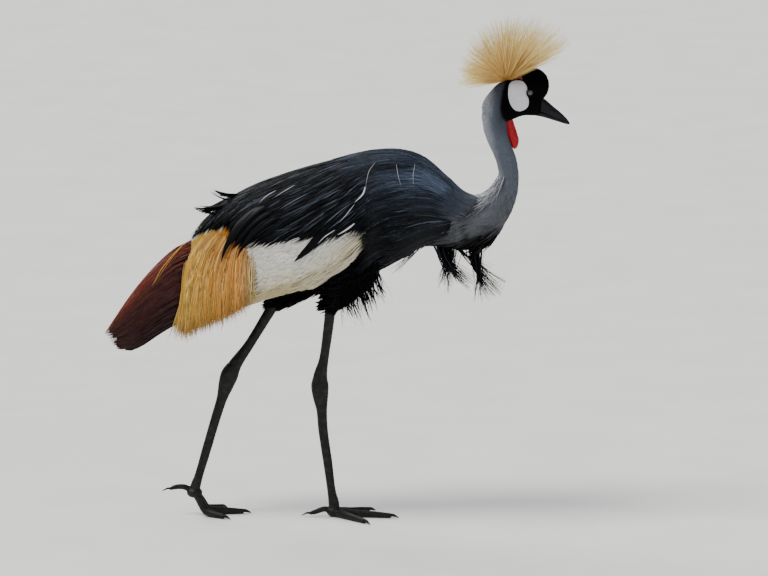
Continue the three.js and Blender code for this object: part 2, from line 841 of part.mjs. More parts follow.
const chestnutGrown = plate(bustle, [-353, -211], [ridge, 0.79], [-5.4, -1.1], 8, 6);
const primaries = midline(fused([blackPlate, ...blackVanes]).subtract(chestnutGrown));
const plumes = fused([goldenPlate, ...goldenLocks])
  .subtract(chestnutGrown)
  .subtract(torsoGrown)
  .subtract(around(back));
for (const [i, [side, sign]] of sides.entries()) {
  const turned = (made) => (sign > 0 ? made : mirrored(made));
  place(`wing_${side}_coverts`, turned(coverts).subtract(thighGrown[i]), COLOURS.white);
  place(`wing_${side}_plumes`, turned(plumes), COLOURS.gold);
  place(`wing_${side}_secondaries`, turned(secondaries), COLOURS.chestnut);
  place(`wing_${side}_primaries`, turned(primaries), COLOURS.black);
}

// Tail, hidden in the wings but for its tips
const TAIL = [
  [-205, 462, 10, 14],
  [-235, 428, 11, 26],
  [-275, 380, 9, 26],
  [-315, 332, 6, 20],
  [-345, 300, 3, 12],
];
place("tail", limb(TAIL, 8, 10).subtract(torsoGrown), COLOURS.black);

// Legs
function footOf(leg) {
  const [x, z] = leg.tarsus[leg.tarsus.length - 1];
  return { x, z };
}

for (const [side, sign] of sides) {
  const leg = LEGS[side];
  const shankY = (u) => leg.y + sign * THIGH_END * (1 - u);
  const tarsusY = () => leg.y;
  const shankShape = (grow) => limb(leg.shank, 8, 10, shankY, grow);
  const foot = footOf(leg);
  const pad = (grow) => ellipsoid([foot.x, leg.y, foot.z - 1], [13 + grow, 12 + grow, 9 + grow], 10, 6);
  const tarsusShape = (grow) => fused([limb(leg.tarsus, 10, 9, tarsusY, grow), pad(grow)]);
  const tarsusGrown = tarsusShape(GAP);
  const [hemX, hemZ] = leg.thigh[3];
  const tufts = [];
  for (let i = 0; i < TUFT.count; i++) {
    const turn = (i / TUFT.count) * 2 * Math.PI;
    const across = new THREE.Vector3(-Math.sin(turn), Math.cos(turn), 0);
    tufts.push(
      hang({
        from: new THREE.Vector3(
          hemX + 4 + 9 * Math.cos(turn),
          thighY(leg, sign)(0.75) + 7 * Math.sin(turn),
          hemZ + 14 + 5 * Math.cos(turn),
        ),
        along: new THREE.Vector3(0.35 * Math.cos(turn) - 0.05, 0.25 * Math.sin(turn), -1).normalize(),
        sag: new THREE.Vector3(0, 0, -1),
        droop: 3,
        length: TUFT.length * (0.85 + 0.15 * draw()),
        wide: TUFT.wide,
        across,
      }),
    );
  }
  const thigh = fused([limb(leg.thigh, 8, 14, thighY(leg, sign)), ...tufts]);
  place(`thigh_${side}`, thigh.subtract(torsoGrown).subtract(shankShape(GAP)), COLOURS.black);
  place(`shank_${side}`, shankShape(0).subtract(tarsusGrown), COLOURS.leg);
  place(`tarsus_${side}`, tarsusShape(0).trimByPlane([0, 0, 1], 0), COLOURS.leg);
  for (const [toe, { turn, length }] of Object.entries(TOES)) {
    const heading = leg.yaw + sign * turn;
    const rows = toeRows(toe, length, foot.z);
    const spread = (made) => made.rotate([0, 0, heading]).translate([foot.x, leg.y, 0]);
    let made = spread(limb(rows, 5, TOE.sides));
    made = made.subtract(tarsusGrown).trimByPlane([0, 0, 1], 0);
    if (toe !== "hallux") {
      for (const edge of [20, -20]) {
        const facing = (heading + edge + (edge > 0 ? -90 : 90)) * DEG;
        const normal = [Math.cos(facing), Math.sin(facing), 0];
        const offset = normal[0] * foot.x + normal[1] * leg.y + GAP / 2;
        const inside = toe === "middle" || (toe === "outer") === (edge * sign < 0);
        if (inside) made = made.trimByPlane(normal, offset);
      }
    }
    place(`toe_${side}_${toe}`, made, COLOURS.leg);
    const claw = spread(limb(clawRows(rows), 3, 5)).subtract(spread(limb(rows, 5, TOE.sides, () => 0, GAP)));
    place(`claw_${side}_${toe}`, claw.trimByPlane([0, 0, 1], 0), COLOURS.black);
  }
}

// A toe's line from the foot joint, which is at the given height, out along +X.
function toeRows(toe, length, height) {
  const mean = (TOE.root + TOE.end) / 2;
  if (toe === "hallux") {
    return height < 20
      ? [
          [4, height, 5, 4.5],
          [16, 12, 4.6, 4.2],
          [length, 7, 4, 3.6],
          [length + 9, 4.6, 2.6, 2.4],
        ]
      : [
          [4, height + 1, 5, 4.5],
          [16, height + 8, 4.6, 4.2],
          [length, height + 8, 4, 3.6],
          [length + 9, height + 5, 2.6, 2.4],
        ];
  }
  if (height < 20) {
    return [
      [4, 7.5, 7.4, TOE.root],
      [20, 6.4, 6.8, TOE.root],
      [length * 0.45, 5.4, 6.1, mean + 0.6],
      [length * 0.75, 4.6, 5.2, mean],
      [length, 3.6, 4.1, TOE.end],
    ];
  }
  return [
    [2, height, 7, TOE.root],
    [11, height - 14, 6.8, TOE.root],
    [23, 9, 6.6, TOE.root],
    [length * 0.55, 5.4, 6.1, mean],
    [length * 0.86, 3.6, 4.2, TOE.end],
  ];
}

// A claw's line, curving on and down from the end of a toe.
function clawRows(rows) {
  const [x, z, deep, wide] = rows[rows.length - 1];
  const fall = Math.min(4, z - 0.2);
  return [
    [x - 3, z + 0.6, deep * 0.8, wide * 0.8],
    [x + 4, z + 0.5, deep * 0.6, wide * 0.55],
    [x + 9, z - fall * 0.4, deep * 0.36, wide * 0.35],
    [x + CLAW.length, z - fall, 0.6, 0.6],
  ];
}

export default crane;
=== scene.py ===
# Grey crowned crane, life size, walking, as a still museum model.
# Metres. +X is the way the bird faces, +Y its left, +Z up, with the floor at zero.
import math

import bpy
import numpy as np
from mathutils import Matrix, Vector
from mathutils.bvhtree import BVHTree


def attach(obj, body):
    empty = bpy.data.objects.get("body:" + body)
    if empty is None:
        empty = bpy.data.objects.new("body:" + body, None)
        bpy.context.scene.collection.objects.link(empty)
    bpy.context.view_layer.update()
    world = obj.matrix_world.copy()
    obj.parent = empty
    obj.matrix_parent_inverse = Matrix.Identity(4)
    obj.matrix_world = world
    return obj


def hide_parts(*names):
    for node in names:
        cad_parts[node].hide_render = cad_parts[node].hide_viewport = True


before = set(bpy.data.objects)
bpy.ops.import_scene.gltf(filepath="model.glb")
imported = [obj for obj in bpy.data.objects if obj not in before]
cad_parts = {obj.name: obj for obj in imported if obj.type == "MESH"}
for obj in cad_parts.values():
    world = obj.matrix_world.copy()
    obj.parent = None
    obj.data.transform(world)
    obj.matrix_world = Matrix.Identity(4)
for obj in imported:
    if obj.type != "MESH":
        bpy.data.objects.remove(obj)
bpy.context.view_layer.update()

RNG = np.random.default_rng(11)
MM = 0.001
FULL_TURN = 2 * math.pi

# Driving shapes of the body in millimetres, as rows of [x, top, edge or bottom, half width].
CLOAK = [
    (-262, 444, 326, 48), (-235, 474, 328, 57), (-205, 505, 336, 66), (-170, 534, 346, 74),
    (-130, 556, 360, 82), (-90, 571, 370, 90), (-50, 584, 380, 95), (-10, 595, 402, 98),
    (30, 606, 430, 100), (70, 614, 458, 97), (110, 615, 470, 91), (150, 602, 482, 78), (185, 573, 478, 64),
    (215, 545, 468, 52), (248, 534, 464, 41),
]
TORSO = [
    (-215, 492, 466, 8), (-190, 508, 438, 24), (-150, 537, 412, 45), (-100, 556, 396, 62),
    (-50, 570, 389, 76), (0, 583, 391, 83), (45, 595, 399, 86), (85, 601, 415, 83), (120, 599, 434, 76),
    (150, 588, 449, 67), (185, 563, 450, 57), (215, 540, 446, 48), (248, 531, 444, 40),
]
SKULL = [
    (245, 690, 672, 7), (250, 701, 663, 12.5), (259, 713, 658, 16), (270, 724, 657, 18.5),
    (282, 731, 659, 20), (296, 735, 664, 20.5), (312, 735, 670, 20), (328, 726, 670, 17),
    (336, 716, 670, 13), (343, 706, 670, 9.5),
]
BUSTLE = [
    (-374, 311, 297, 12), (-362, 329, 285, 20), (-340, 362, 283, 31), (-315, 395, 294, 40),
    (-285, 428, 314, 46), (-258, 451, 327, 46), (-235, 462, 331, 46), (-205, 486, 338, 49),
]
# The neck from the head down: [x, z, half depth, half width].
NECK = [
    (274, 698, 24, 16), (268, 676, 25, 18), (266, 655, 21.5, 16.8), (270, 636, 19.5, 16),
    (278, 615, 18, 15.5), (285, 596, 18, 15.5), (288.5, 572, 18, 16.5), (285, 551, 20.5, 19),
    (276, 532, 25, 24), (262, 515, 31, 31), (247, 500, 38, 38), (230, 490, 43, 44),
]


def smooth(rows, column):
    """A smooth function of the first column, the same curve as the solids follow."""
    xs = np.array([row[0] for row in rows], float)
    ys = np.array([row[column] for row in rows], float)
    rises = np.diff(ys) / np.diff(xs)
    slopes = np.concatenate([rises[:1], (rises[:-1] + rises[1:]) / 2, rises[-1:]])

    def value(x):
        x = np.asarray(x, float)
        i = np.clip(np.searchsorted(xs, x, side="right") - 1, 0, len(xs) - 2)
        span = xs[i + 1] - xs[i]
        u = (x - xs[i]) / span
        keep = 1 - u
        return (
            keep * keep * (1 + 2 * u) * ys[i]
            + u * u * (3 - 2 * u) * ys[i + 1]
            + u * keep * keep * span * slopes[i]
            - u * u * keep * span * slopes[i + 1]
        )

    return value


def unit(v):
    return v / np.maximum(np.linalg.norm(v, axis=-1, keepdims=True), 1e-12)


class Sections:
    """A surface of sections across x. t is 0 at the ridge and 1 at the lower edge, below 0 on the right."""

    def __init__(self, rows, sweep):
        self.top, self.edge, self.half = (smooth(rows, c) for c in (1, 2, 3))
        self.sweep = math.radians(sweep)
        self.drop = 1 - math.cos(self.sweep)
        self.low, self.high = rows[0][0], rows[-1][0]

    def at(self, x, t):
        x = np.asarray(x, float)
        turn = np.asarray(t, float) * self.sweep
        height = (self.top(x) - self.edge(x)) / self.drop
        y = self.half(x) * np.sin(turn)
        z = self.top(x) - height + height * np.cos(turn)
        return np.stack([x + 0 * y, y, z], -1) * MM

    def frame(self, x, t):
        """Unit vectors back, down and out of the surface, with metres per unit of x and of t."""
        back = self.at(x - 1, t) - self.at(x + 1, t)
        down = self.at(x, t + 0.01) - self.at(x, t - 0.01)
        per_x = np.linalg.norm(back, axis=-1) / 2
        per_t = np.linalg.norm(down, axis=-1) / 0.02
        back, down = unit(back), unit(down)
        out = unit(np.cross(down, back))
        away = self.at(x, t) - (self.at(x, 0 * t) + self.at(x, 0 * t + 1)) / 2
        away[..., 0] = 0
        outward = np.where(np.sum(out * away, -1, keepdims=True) < 0, -1.0, 1.0)
        return back, down, out * outward, per_x, per_t

    def unwrap(self, x, t):
        """A place on the surface's own unwrapped sheet, inside 0 to 1."""
        u = (np.asarray(x) - self.low) / (self.high - self.low)
        v = np.asarray(t) / 2 + 0.5
        return np.stack([0.03 + 0.94 * np.clip(u, 0, 1), 0.03 + 0.94 * np.clip(v, 0, 1)], -1)


class Tube:
    """A surface round a line: u is 0 at its start and 1 at its end, t is 0 in front and 1 behind."""

    def __init__(self, rows, y=None):
        self.rows = np.array([row[:4] for row in rows], float)
        n = len(rows)
        steps = np.arange(n, dtype=float)
        lengths = np.linalg.norm(np.diff(self.rows[:, :2], axis=0), axis=1)
        self.places = np.concatenate([[0], np.cumsum(lengths)]) / lengths.sum()
        self.length = lengths.sum() * MM
        table = [(p, *row) for p, row in zip(self.places, self.rows)]
        self.curves = [smooth(table, c) for c in (1, 2, 3, 4)]
        self.y = y or (lambda u: 0 * u)

    def middle(self, u):
        return np.stack([self.curves[0](u), self.y(u) + 0 * u, self.curves[1](u)], -1) * MM

    def at(self, u, t):
        u = np.asarray(u, float)
        t = np.asarray(t, float)
        ahead = unit(self.middle(u + 0.005) - self.middle(u - 0.005))
        front = unit(np.stack([-ahead[..., 2], 0 * u, ahead[..., 0]], -1))
        side = np.cross(ahead, front)
        turn = (t * math.pi)[..., None]
        deep = self.curves[2](u)[..., None] * MM
        wide = self.curves[3](u)[..., None] * MM
        return self.middle(u) + front * deep * np.cos(turn) + side * wide * np.sin(turn)

    def frame(self, u, t):
        """Unit vectors along, round and out of the surface, with metres per unit of u and of t."""
        along = self.at(u + 0.004, t) - self.at(u - 0.004, t)
        round_ = self.at(u, t + 0.01) - self.at(u, t - 0.01)
        per_u = np.linalg.norm(along, axis=-1) / 0.008
        per_t = np.linalg.norm(round_, axis=-1) / 0.02
        along, round_ = unit(along), unit(round_)
        out = unit(np.cross(along, round_))
        away = self.at(u, t) - self.middle(u)
        sign = np.sign(np.sum(out * away, -1, keepdims=True))
        return along, round_, out * sign, per_u, per_t

    def unwrap(self, u, t):
        return np.stack([0.03 + 0.94 * np.clip(u, 0, 1), 0.03 + 0.94 * (np.mod(t + 1, 2) / 2)], -1)


cloak = Sections(CLOAK, 125)
torso = Sections(TORSO, 180)
skull = Sections(SKULL, 180)
bustle = Sections(BUSTLE, 125)
neck = Tube(NECK)


# Building blocks


def read(items, key, width, kind=np.float32):
    """One property of all the points, corners or faces of a mesh."""
    values = np.empty(len(items) * width, kind)
    items.foreach_get(key, values)
    return values.reshape(-1, width)


def corner_uv(made, uv):
    """Gives a piece the bake map from a place for each of its vertices."""
    corners = read(made.data.loops, "vertex_index", 1, np.int32)[:, 0]
    layer = made.data.uv_layers.new(name="OFBake")
    layer.data.foreach_set("uv", uv[corners].astype(np.float32).reshape(-1))


def tint_points(made, colour):
    rgba = np.ones((len(colour), 4), np.float32)
    rgba[:, :3] = np.clip(colour, 0, 1)
    layer = made.data.color_attributes.new("Tint", "FLOAT_COLOR", "POINT")
    layer.data.foreach_set("color", rgba.reshape(-1))


def new_object(name, verts, faces, material, smooth_shaded=True):
    mesh = bpy.data.meshes.new(name)
    verts = np.asarray(verts, np.float32)
    counts = np.array([len(face) for face in faces])
    starts = np.concatenate([[0], np.cumsum(counts)[:-1]])
    corners = np.concatenate(faces)
    mesh.vertices.add(len(verts))
    mesh.vertices.foreach_set("co", verts.reshape(-1))
    mesh.loops.add(len(corners))
    mesh.loops.foreach_set("vertex_index", corners.astype(np.int32))
    mesh.polygons.add(len(counts))
    mesh.polygons.foreach_set("loop_start", starts.astype(np.int32))
    mesh.update(calc_edges=True)
    mesh.polygons.foreach_set("use_smooth", np.full(len(counts), smooth_shaded))
    mesh.validate()
    if material:
        mesh.materials.append(material)
    made = bpy.data.objects.new(name, mesh)
    bpy.context.scene.collection.objects.link(made)
    return made


def walk(surface, x, t, heading, bend, length, lifts, steps, curl=0.0, backwards=False, ease=1.0):
    """Centre, across and up of each station of strips that lie on a surface. Angles are in degrees below
    straight back: heading at the root, bend over the whole length, sooner where ease is below 1, and curl
    over the last part. Lifts are heights over the surface at root, third and tip, in metres. Strips start
    at x, t, or end there when they are walked backwards."""
    x, t = np.array(x, float), np.array(t, float)
    side = np.where(t < 0, -1.0, 1.0)
    sense = -1 if backwards else 1
    centre, across, up = [], [], []
    for i in range(steps + 1):
        u = 1 - i / steps if backwards else i / steps
        turn = np.radians(heading + bend * u**ease + curl * (max(u - 0.55, 0) / 0.45) ** 2) + 0 * x
        back, down, out, per_x, per_t = surface.frame(x, t)
        down = down * side[:, None]
        if u < 1 / 3:
            lift = lifts[0] + (lifts[1] - lifts[0]) * math.sin(u * 1.5 * math.pi)
        else:
            lift = lifts[1] + (lifts[2] - lifts[1]) * (u - 1 / 3) * 1.5
        centre.append(surface.at(x, t) + out * np.asarray(lift).reshape(-1, 1))
        across.append(unit(down * np.cos(turn)[:, None] - back * np.sin(turn)[:, None]) * side[:, None])
        up.append(out)
        step = length / steps
        x = x - sense * step * np.cos(turn) / per_x
        t = t + sense * side * step * np.sin(turn) / per_t
    order = slice(None, None, -1) if backwards else slice(None)
    return tuple(np.stack(a[order], 1) for a in (centre, across, up))


def z_at(surface, x, t):
    return surface.at(x, t)[..., 2] / MM


def t_at(surface, x, z):
    """The turn at which a surface passes the height z, in millimetres, at each x."""
    grid = np.linspace(0.02, 1.1, 70)
    heights = z_at(surface, np.asarray(x)[:, None], grid[None, :])
    return np.array([np.interp(-a, -row, grid) for a, row in zip(z, heights)])


def arc_to(surface, x, t, x_end):
    """Length over the surface, in metres, from each x back to x_end at the same turn."""
    line = np.linspace(0, 1, 25)
    xs = x[:, None] + (x_end - x)[:, None] * line
    at = surface.at(xs, t[:, None] + 0 * xs)
    return np.linalg.norm(np.diff(at, axis=1), axis=-1).sum(1)


def traced(surface, lines, side, lift, steps):
    """Stations of strips along lines of places (x, z) in the side view, on one side of a surface."""
    centre, across, up = [], [], []
    for line in lines:
        p = np.array(line, float)
        k = np.linspace(0, 1, len(p))
        s = np.linspace(0, 1, steps + 1)
        x, z = (smooth(np.stack([k, p[:, c]], -1), 1)(s) for c in (0, 1))
        t = side * t_at(surface, x, z)
        out = surface.frame(x, t)[2]
        at = surface.at(x, t) + out * lift
        ahead = unit(np.gradient(at, axis=0))
        centre.append(at)
        across.append(unit(np.cross(out, ahead)))
        up.append(out)
    return tuple(np.stack(a) for a in (centre, across, up))


def hang(start, along, sag, droop, length, across, steps):
    """Centre, across and up of each station of free strips, bending by droop along sag."""
    centre, sides, up = [], [], []
    length, droop = np.asarray(length).reshape(-1, 1), np.asarray(droop).reshape(-1, 1)
    for i in range(steps + 1):
        u = i / steps
        centre.append(start + along * length * u + sag * droop * u * u)
        ahead = unit(along * length + sag * droop * 2 * u)
        side = unit(across - ahead * np.sum(across * ahead, -1, keepdims=True))
        sides.append(side)
        up.append(np.cross(side, ahead))
    return tuple(np.stack(a, 1) for a in (centre, sides, up))


SHAPES = {
    "vane": lambda u: np.clip(0.42 + 1.9 * u - 1.1 * u * u, 0, 1) * np.sqrt(np.clip(1 - u**5, 0, 1)),
    "round": lambda u: np.clip(0.5 + 2.2 * u, 0, 1) * np.sqrt(np.clip(1 - u**4, 0, 1)),
    "lance": lambda u: np.clip(0.5 + 1.7 * u, 0, 1) * np.clip(1 - u**2.2, 0, 1) ** 0.8,
    "hair": lambda u: 1 - 0.9 * u**1.6,
    "tuft": lambda u: np.clip(0.75 + 0.8 * u, 0, 1) * np.clip(1 - u**1.8, 0, 1),
}


def strips(name, stations, width, roots_uv, material, shape, colour, thick=0.0004, cup=0.12, ragged=0.0,
           wave=0.0):
    """One closed thin blade for each row of stations, with its tint, own coordinates and bake patch."""
    centre, across, up = stations
    n, k = centre.shape[:2]
    u = np.linspace(0, 1, k)
    reach = SHAPES[shape](u)
    reach[-1] = max(reach[-1] * 0.2, 0.02)
    width = np.asarray(width, float).reshape(-1, 1) * np.ones((n, 1))
    half = width * reach[None, :] / 2
    left = half * (1 + ragged * RNG.uniform(-1, 1, (n, k)))
    right = half * (1 + ragged * RNG.uniform(-1, 1, (n, k)))
    if wave:
        centre = centre + across * (wave * width * np.sin(u * 6 + RNG.uniform(0, 6, (n, 1))))[..., None]
    rise = (thick * (1.1 - 0.7 * u))[None, :, None]
    low = centre - up * (half * cup)[..., None]
    ring = [low - across * left[..., None], centre + up * rise, low + across * right[..., None],
            centre - up * rise * 0.5]
    grid = np.arange(n * k * 4).reshape(n, k, 4)
    a = grid[:, :-1]
    b = np.roll(a, -1, 2)
    sides = np.stack([a, b, b + 4, a + 4], -1).reshape(-1, 4)
    faces = np.concatenate([sides, grid[:, 0, ::-1], grid[:, -1]])
    made = new_object(name, np.stack(ring, 2).reshape(-1, 3), faces, material)
    side = np.broadcast_to([-1.0, 0.0, 1.0, 0.0], grid.shape)
    along = np.broadcast_to(u[:, None], grid.shape)
    draw = np.broadcast_to(RNG.uniform(0, 1, (n, 1, 1)), grid.shape)
    own = made.data.attributes.new("Vane", "FLOAT_VECTOR", "POINT")
    own.data.foreach_set("vector", np.stack([side, along, draw], -1).astype(np.float32).reshape(-1))
    colour = np.asarray(colour, float)
    if colour.ndim == 2:
        colour = colour[:, None]
    tint_points(made, np.broadcast_to(colour[:, :, None], (n, k, 4, 3)).reshape(-1, 3))
    spot = np.stack([side * 0.0015, (along - 0.5) * 0.003], -1) + roots_uv[:, None, None, :]
    corner_uv(made, spot.reshape(-1, 2))
    return made


def merged(name, parts):
    """Several strip objects as one."""
    bpy.ops.object.select_all(action="DESELECT")
    for part in parts:
        part.select_set(True)
    bpy.context.view_layer.objects.active = parts[0]
    bpy.ops.object.join()
    parts[0].name = name
    return parts[0]


def loft(name, rings, material=None):
    """A closed surface through rings of equal length, each a list of points."""
    rings = np.asarray(rings)
    k, m = rings.shape[:2]
    verts = np.concatenate([rings.reshape(-1, 3), rings[0].mean(0)[None], rings[-1].mean(0)[None]])
    faces = []
    for i in range(k - 1):
        for j in range(m):
            a, b = i * m + j, i * m + (j + 1) % m
            faces.append([a, b, b + m, a + m])
    for j in range(m):
        faces.append([(j + 1) % m, j, k * m])
        faces.append([(k - 1) * m + j, (k - 1) * m + (j + 1) % m, k * m + 1])
    return new_object(name, verts, faces, material)


def round_rings(surface, xs, count, inset=0.0):
    """Rings round a closed surface, drawn in by inset metres."""
    turns = np.linspace(-1, 1, count, endpoint=False)
    rings = []
    for x in xs:
        points = surface.at(np.full(count, x), turns)
        middle = points.mean(0)
        out = unit(points - middle)
        rings.append(points - out * inset)
    return rings


def fuse(name, parts, voxel, material, rounds, factor):
    """One closed skin from overlapping parts."""
    made = merged(name, parts)
    made.data.materials.clear()
    remesh = made.modifiers.new("remesh", "REMESH")
    remesh.mode = "VOXEL"
    remesh.voxel_size = voxel
    ease = made.modifiers.new("ease", "SMOOTH")
    ease.iterations = rounds
    ease.factor = factor
    apply_all(made)
    made.data.materials.append(material)
    made.data.polygons.foreach_set("use_smooth", np.ones(len(made.data.polygons), bool))
    return made


def apply_all(made):
    graph = bpy.context.evaluated_depsgraph_get()
    mesh = bpy.data.meshes.new_from_object(made.evaluated_get(graph))
    made.modifiers.clear()
    made.data = mesh
    mesh.name = made.name


# Materials


class Nodes:
    """A short way to write a material's node tree."""

    def __init__(self, name, roughness=0.6, **inputs):
        self.material = bpy.data.materials.new(name)
        self.material.use_nodes = True
        self.tree = self.material.node_tree
        self.shader = self.tree.nodes["Principled BSDF"]
        self.shader.inputs["Roughness"].default_value = roughness
        for key, value in inputs.items():
            self.shader.inputs[key.replace("_", " ")].default_value = value

    def add(self, kind, settings=None, **links):
        node = self.tree.nodes.new(kind)
        for key, value in (settings or {}).items():
            if isinstance(key, str) and hasattr(node, key):
                setattr(node, key, value)
            else:
                node.inputs[key].default_value = value
        for key, source in links.items():
            self.tree.links.new(source, node.inputs[key.replace("_", " ")])
        return node

    def math(self, operation, a, b=None):
        node = self.tree.nodes.new("ShaderNodeMath")
        node.operation = operation
        for i, value in enumerate([a, b]):
            if value is None:
                continue
            if isinstance(value, (int, float)):
                node.inputs[i].default_value = value
            else:
                self.tree.links.new(value, node.inputs[i])
        return node.outputs[0]

    def mix(self, factor, a, b, blend="MIX"):
        node = self.tree.nodes.new("ShaderNodeMix")
        node.data_type = "RGBA"
        node.blend_type = blend
        for socket, value in ((node.inputs[0], factor), (node.inputs[6], a), (node.inputs[7], b)):
            if isinstance(value, (int, float)):
                socket.default_value = value
            elif isinstance(value, tuple):
                socket.default_value = (*value, 1)
            else:
                self.tree.links.new(value, socket)
        return node.outputs[2]

    def ramp(self, value, stops):
        node = self.tree.nodes.new("ShaderNodeValToRGB")
        self.tree.links.new(value, node.inputs[0])
        while len(node.color_ramp.elements) < len(stops):
            node.color_ramp.elements.new(0.5)
        for element, (place, colour) in zip(node.color_ramp.elements, stops):
            element.position = place
            element.color = (*colour, 1) if isinstance(colour, tuple) else (colour, colour, colour, 1)
        return node.outputs[0]

    def noise(self, scale, detail=3, source=None, stretch=None):
        place = self.add("ShaderNodeTexCoord").outputs["Object"] if source is None else source
        if stretch:
            scaled = self.add("ShaderNodeMapping", {"Scale": stretch}, Vector=place)
            place = scaled.outputs[0]
        node = self.add("ShaderNodeTexNoise", {"Scale": scale, "Detail": detail}, Vector=place)
        return node.outputs[0]

    def bump(self, height, strength=0.3, distance=0.001):
        node = self.add("ShaderNodeBump", {"Strength": strength, "Distance": distance}, Height=height)
        self.tree.links.new(node.outputs[0], self.shader.inputs["Normal"])

    def colour(self, socket):
        self.tree.links.new(socket, self.shader.inputs["Base Color"])


BARB_SLOPE = 2.5


def feather_material(name, roughness, barbs, depth, edge, gloss, shaft=0.0):
    """Feather colour from the vane's own tint, with slanting barbs and a darker or paler edge."""
    m = Nodes(name, roughness, Specular_IOR_Level=gloss)
    tint = m.add("ShaderNodeAttribute", {"attribute_name": "Tint"}).outputs["Color"]
    own = m.add("ShaderNodeAttribute", {"attribute_name": "Vane"}).outputs["Vector"]
    split = m.add("ShaderNodeSeparateXYZ", Vector=own)
    side = m.math("ABSOLUTE", split.outputs[0])
    slant = m.math("ADD", m.math("MULTIPLY", side, -BARB_SLOPE), m.math("MULTIPLY", split.outputs[1], barbs))
    slant = m.math("ADD", slant, m.math("MULTIPLY", split.outputs[2], 40.0))
    fine = m.noise(1.0, 2, m.add("ShaderNodeCombineXYZ", X=slant, Y=m.math("MULTIPLY", side, 1.5)).outputs[0])
    broad = m.noise(35.0, 2)
    value = m.math("ADD", m.math("MULTIPLY", fine, depth * 2), 1 - depth)
    value = m.math("MULTIPLY", value, m.math("ADD", m.math("MULTIPLY", broad, 0.3), 0.85))
    value = m.math("MULTIPLY", value, m.math("ADD", m.math("MULTIPLY", split.outputs[2], 0.24), 0.88))
    fade = m.math("ADD", 1.0, m.math("MULTIPLY", m.math("POWER", side, 3.0), edge - 1.0))
    value = m.math("MULTIPLY", value, fade)
    shade = m.add("ShaderNodeCombineColor", Red=value, Green=value, Blue=value).outputs[0]
    colour = m.mix(1.0, tint, shade, "MULTIPLY")
    if shaft:
        quill = m.math("MULTIPLY", m.math("LESS_THAN", side, 0.09), shaft)
        colour = m.mix(quill, colour, (0.35, 0.32, 0.28))
    m.colour(colour)
    m.bump(fine, 0.25, 0.0006)
    return m.material


def srgb(*values):
    """Linear colour from the 0 to 255 values that a screen shows."""
    v = np.array(values, float) / 255
    return np.where(v <= 0.04045, v / 12.92, ((v + 0.055) / 1.055) ** 2.4)


def blend(a, b, k):
    k = np.clip(np.asarray(k, float), 0, 1)[..., None]
    return np.asarray(a) * (1 - k) + np.asarray(b) * k


def ramp(value, low, high):
    return np.clip((np.asarray(value, float) - low) / (high - low), 0, 1)


def xz(p):
    """Places along the bird and heights, in millimetres."""
    return p[:, 0] / MM, p[:, 2] / MM


BLACK = srgb(5, 6, 9)
CAP_BLACK = srgb(3, 3, 4)
SLATE = srgb(56, 65, 80)
NECK_GREY = srgb(88, 95, 106)
# Paler grey of the painted rim light on the back of the neck
NECK_RIM_LIGHT = srgb(186, 190, 196)
BASE_GREY = srgb(78, 80, 84)
# The coverts' white, dimmed a little from their own white as painted shade
WHITE = srgb(206, 205, 196)
CREAM = srgb(188, 174, 130)
GOLD = srgb(190, 118, 34)
SANDY_GOLD = srgb(214, 140, 66)
# Pale gold of painted highlights on the golden plumes
GOLD_HIGHLIGHT = srgb(232, 204, 132)
CREAM_GOLD = srgb(222, 202, 150)
STRAW = srgb(206, 160, 62)
CHESTNUT = srgb(112, 40, 22)
# Dark maroon: painted shade down the side of the chestnut feathers
CHESTNUT_SHADE = srgb(46, 13, 11)
TIP_BROWN = srgb(20, 13, 13)
SHADE_BROWN = np.array([0.006, 0.005, 0.005])
GREY_SHEEN = srgb(80, 87, 100)
SLATE_SHEEN = srgb(92, 102, 117)
PLUME_SHEEN = srgb(60, 66, 76)
HACKLE_WHITE = srgb(240, 242, 246)
SHAFT_WHITE = srgb(206, 208, 212)
# Crest gold, partly its own tone and partly lightened as painted backlight shining through the fan
CREST_ROOT = srgb(238, 182, 90)
CREST_TIP = srgb(255, 234, 160)

# Feathers: roughness, barbs along the vane, depth of their shade, tone of the edge, and gloss
black_feather = feather_material("black_feather", 0.5, 70, 0.35, 1.5, 0.05)
silky_feather = feather_material("silky_feather", 0.42, 50, 0.4, 1.6, 0.08)
grey_feather = feather_material("grey_feather", 0.62, 14, 0.16, 1.1, 0.3)
slate_feather = feather_material("slate_feather", 0.46, 40, 0.35, 1.6, 0.1)
white_feather = feather_material("white_feather", 0.6, 60, 0.05, 1.0, 0.3)
gold_feather = feather_material("gold_feather", 0.5, 20, 0.22, 1.1, 0.3)
chestnut_feather = feather_material("chestnut_feather", 0.5, 90, 0.4, 1.3, 0.16, 0.12)
velvet = feather_material("velvet", 0.9, 6, 0.3, 1.0, 0.0)
bristle = feather_material("bristle", 0.45, 10, 0.2, 0.9, 0.35)


# Skin under the coat, all one piece


def ball_rings(centre, radii, count=24, sides=32):
    rings = []
    for k in range(1, count):
        a = math.pi * k / count
        turn = np.linspace(0, FULL_TURN, sides, endpoint=False)
        x = np.full(sides, centre[0] + radii[0] * math.cos(a))
        y = centre[1] + radii[1] * math.sin(a) * np.cos(turn)
        z = centre[2] + radii[2] * math.sin(a) * np.sin(turn)
        rings.append(np.stack([x, y, z], -1) * MM)
    return rings


CAP_CENTRE = (329, 0, 721)
CAP_RADII = (28 - 2.2, 16.5 - 2.2, 31 - 2.2)
